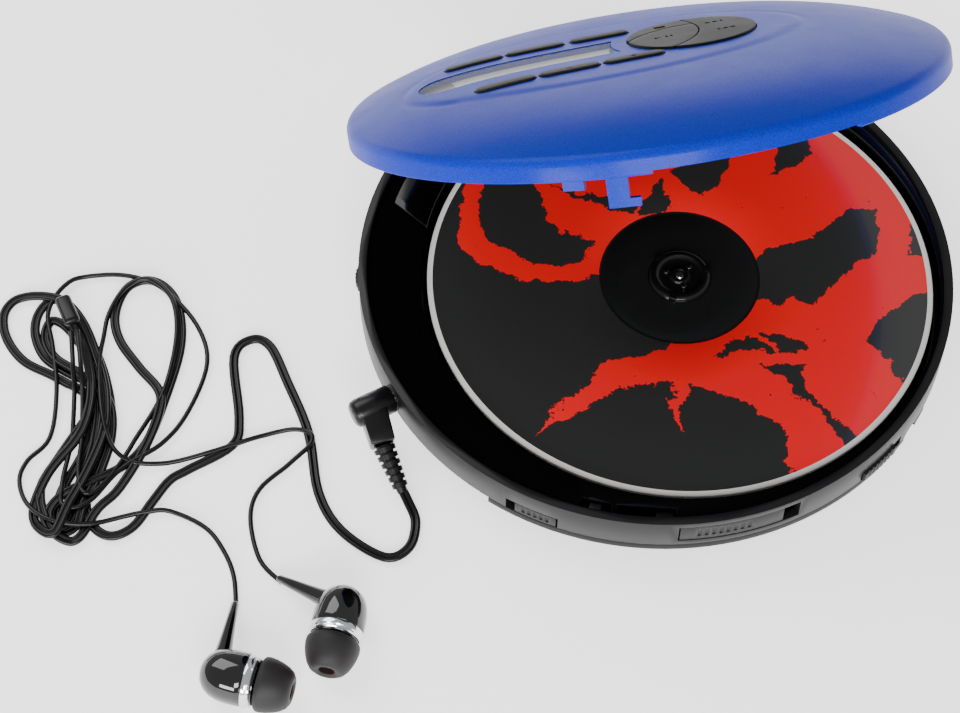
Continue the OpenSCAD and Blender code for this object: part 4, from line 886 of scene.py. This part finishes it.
# ---------------------------------------------------------------- controls
# Dark grey moulded ABS sliders and wheel, lightly textured for grip, and the lid's little plunger.
control_grey = plastic("control_abs", "#161618", 0.45, grain=0.3, bump=0.2, IOR=1.35)
for node_name in ("lid_plunger", "open_slider", "hold_slider", "tone_slider", "volume_wheel"):
    softened(node_name, node_name + "_cap", control_grey, node_name, width=0.12)

# ---------------------------------------------------------------- lid lining
# Thin black ABS disc clipped inside the lid, with the ring that keeps the disc on its spindle.
softened("lid_liner", "lid_lining", case_black, "lid", width=0.2)

# ---------------------------------------------------------------- works and small parts
# Everything inside keeps its own solid: zinc-plated sheet, bright steel, acetal gears, green boards.
steel_sheet = plastic("zinc_sheet", "#A9ABAD", 0.34, grain=0.9, bump=0.08, Metallic=1.0)
board_green = plastic("board_resist", "#0F4A2A", 0.3, grain=0.8, bump=0.06)
epoxy = plastic("chip_epoxy", "#131313", 0.5, grain=0.3, bump=0.1)
acetal = plastic("gear_acetal", "#DDD8C8", 0.4, grain=0.5, bump=0.05)
brass = plastic("turned_brass", "#C79A45", 0.25, grain=0.5, bump=0.05, Metallic=1.0)
sleeve = plastic("cell_sleeve", "#2C6B53", 0.25, grain=2.0, bump=0.04)
rubber = plastic("foot_rubber", "#101010", 0.75, grain=0.4, bump=0.3)
lens_blue = plastic("lens_coating", "#4A3A9A", 0.05, grain=3.0, bump=0.0, IOR=1.6)
works = {
    "mech_chassis": steel_sheet, "main_board": board_green, "side_board": board_green, "key_board": board_green,
    "board_chips": epoxy, "earphone_jack": epoxy, "line_jack": epoxy, "switch_bodies": epoxy, "volume_pot": epoxy,
    "feed_gear": acetal, "motor_pinion": brass, "battery_cells": sleeve, "battery_contacts": brass,
    "rubber_feet": rubber, "dampers": rubber, "pickup_sled": epoxy, "pickup_lens": lens_blue,
    "spindle_motor": motor_steel, "guide_rods": motor_steel, "feed_motor": motor_steel, "hinge_pins": motor_steel,
    "case_screws": motor_steel, "lcd_panel": lcd_silver,
}
for node_name, material in works.items():
    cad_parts[node_name].data.materials.clear()
    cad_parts[node_name].data.materials.append(material)

# ---------------------------------------------------------------- floor and light
# Plain white sweep under three broad soft lamps: above and behind, low on the left, and in front.
bpy.ops.mesh.primitive_plane_add(size=6, location=(0, 0, -0.0005))
floor = bpy.context.object
floor.name = "floor"
floor_white = bpy.data.materials.new("floor_white")
floor_white.use_nodes = True
WHITE = (1.0, 1.0, 1.0, 1.0)
floor_look = {"Base Color": WHITE, "Emission Color": WHITE, "Emission Strength": 1.25, "Roughness": 0.9}
for socket, value in floor_look.items():
    floor_white.node_tree.nodes["Principled BSDF"].inputs[socket].default_value = value
floor.data.materials.append(floor_white)


def lamp(name, spot, aim, size, power, tall=None):
    data = bpy.data.lights.new(name, "AREA")
    data.shape = "RECTANGLE"
    data.size, data.size_y = size, tall or size
    data.energy = power
    light = bpy.data.objects.new(name, data)
    bpy.context.collection.objects.link(light)
    light.location = spot
    light.rotation_euler = (Vector(aim) - Vector(spot)).to_track_quat("-Z", "Y").to_euler()


lamp("key_lamp", (-0.5, 0.7, 1.0), (0, 0, 0.02), 0.9, 9)
lamp("left_lamp", (-0.85, -0.97, 0.34), (0, 0, 0.06), 0.6, 9, 0.25)
lamp("front_lamp", (-0.25, -1.1, 0.7), (0, 0, 0.03), 0.7, 14, 0.4)
world = bpy.context.scene.world or bpy.data.worlds.new("world")
bpy.context.scene.world = world
world.use_nodes = True
world.node_tree.nodes["Background"].inputs["Color"].default_value = WHITE
world.node_tree.nodes["Background"].inputs["Strength"].default_value = 0.5
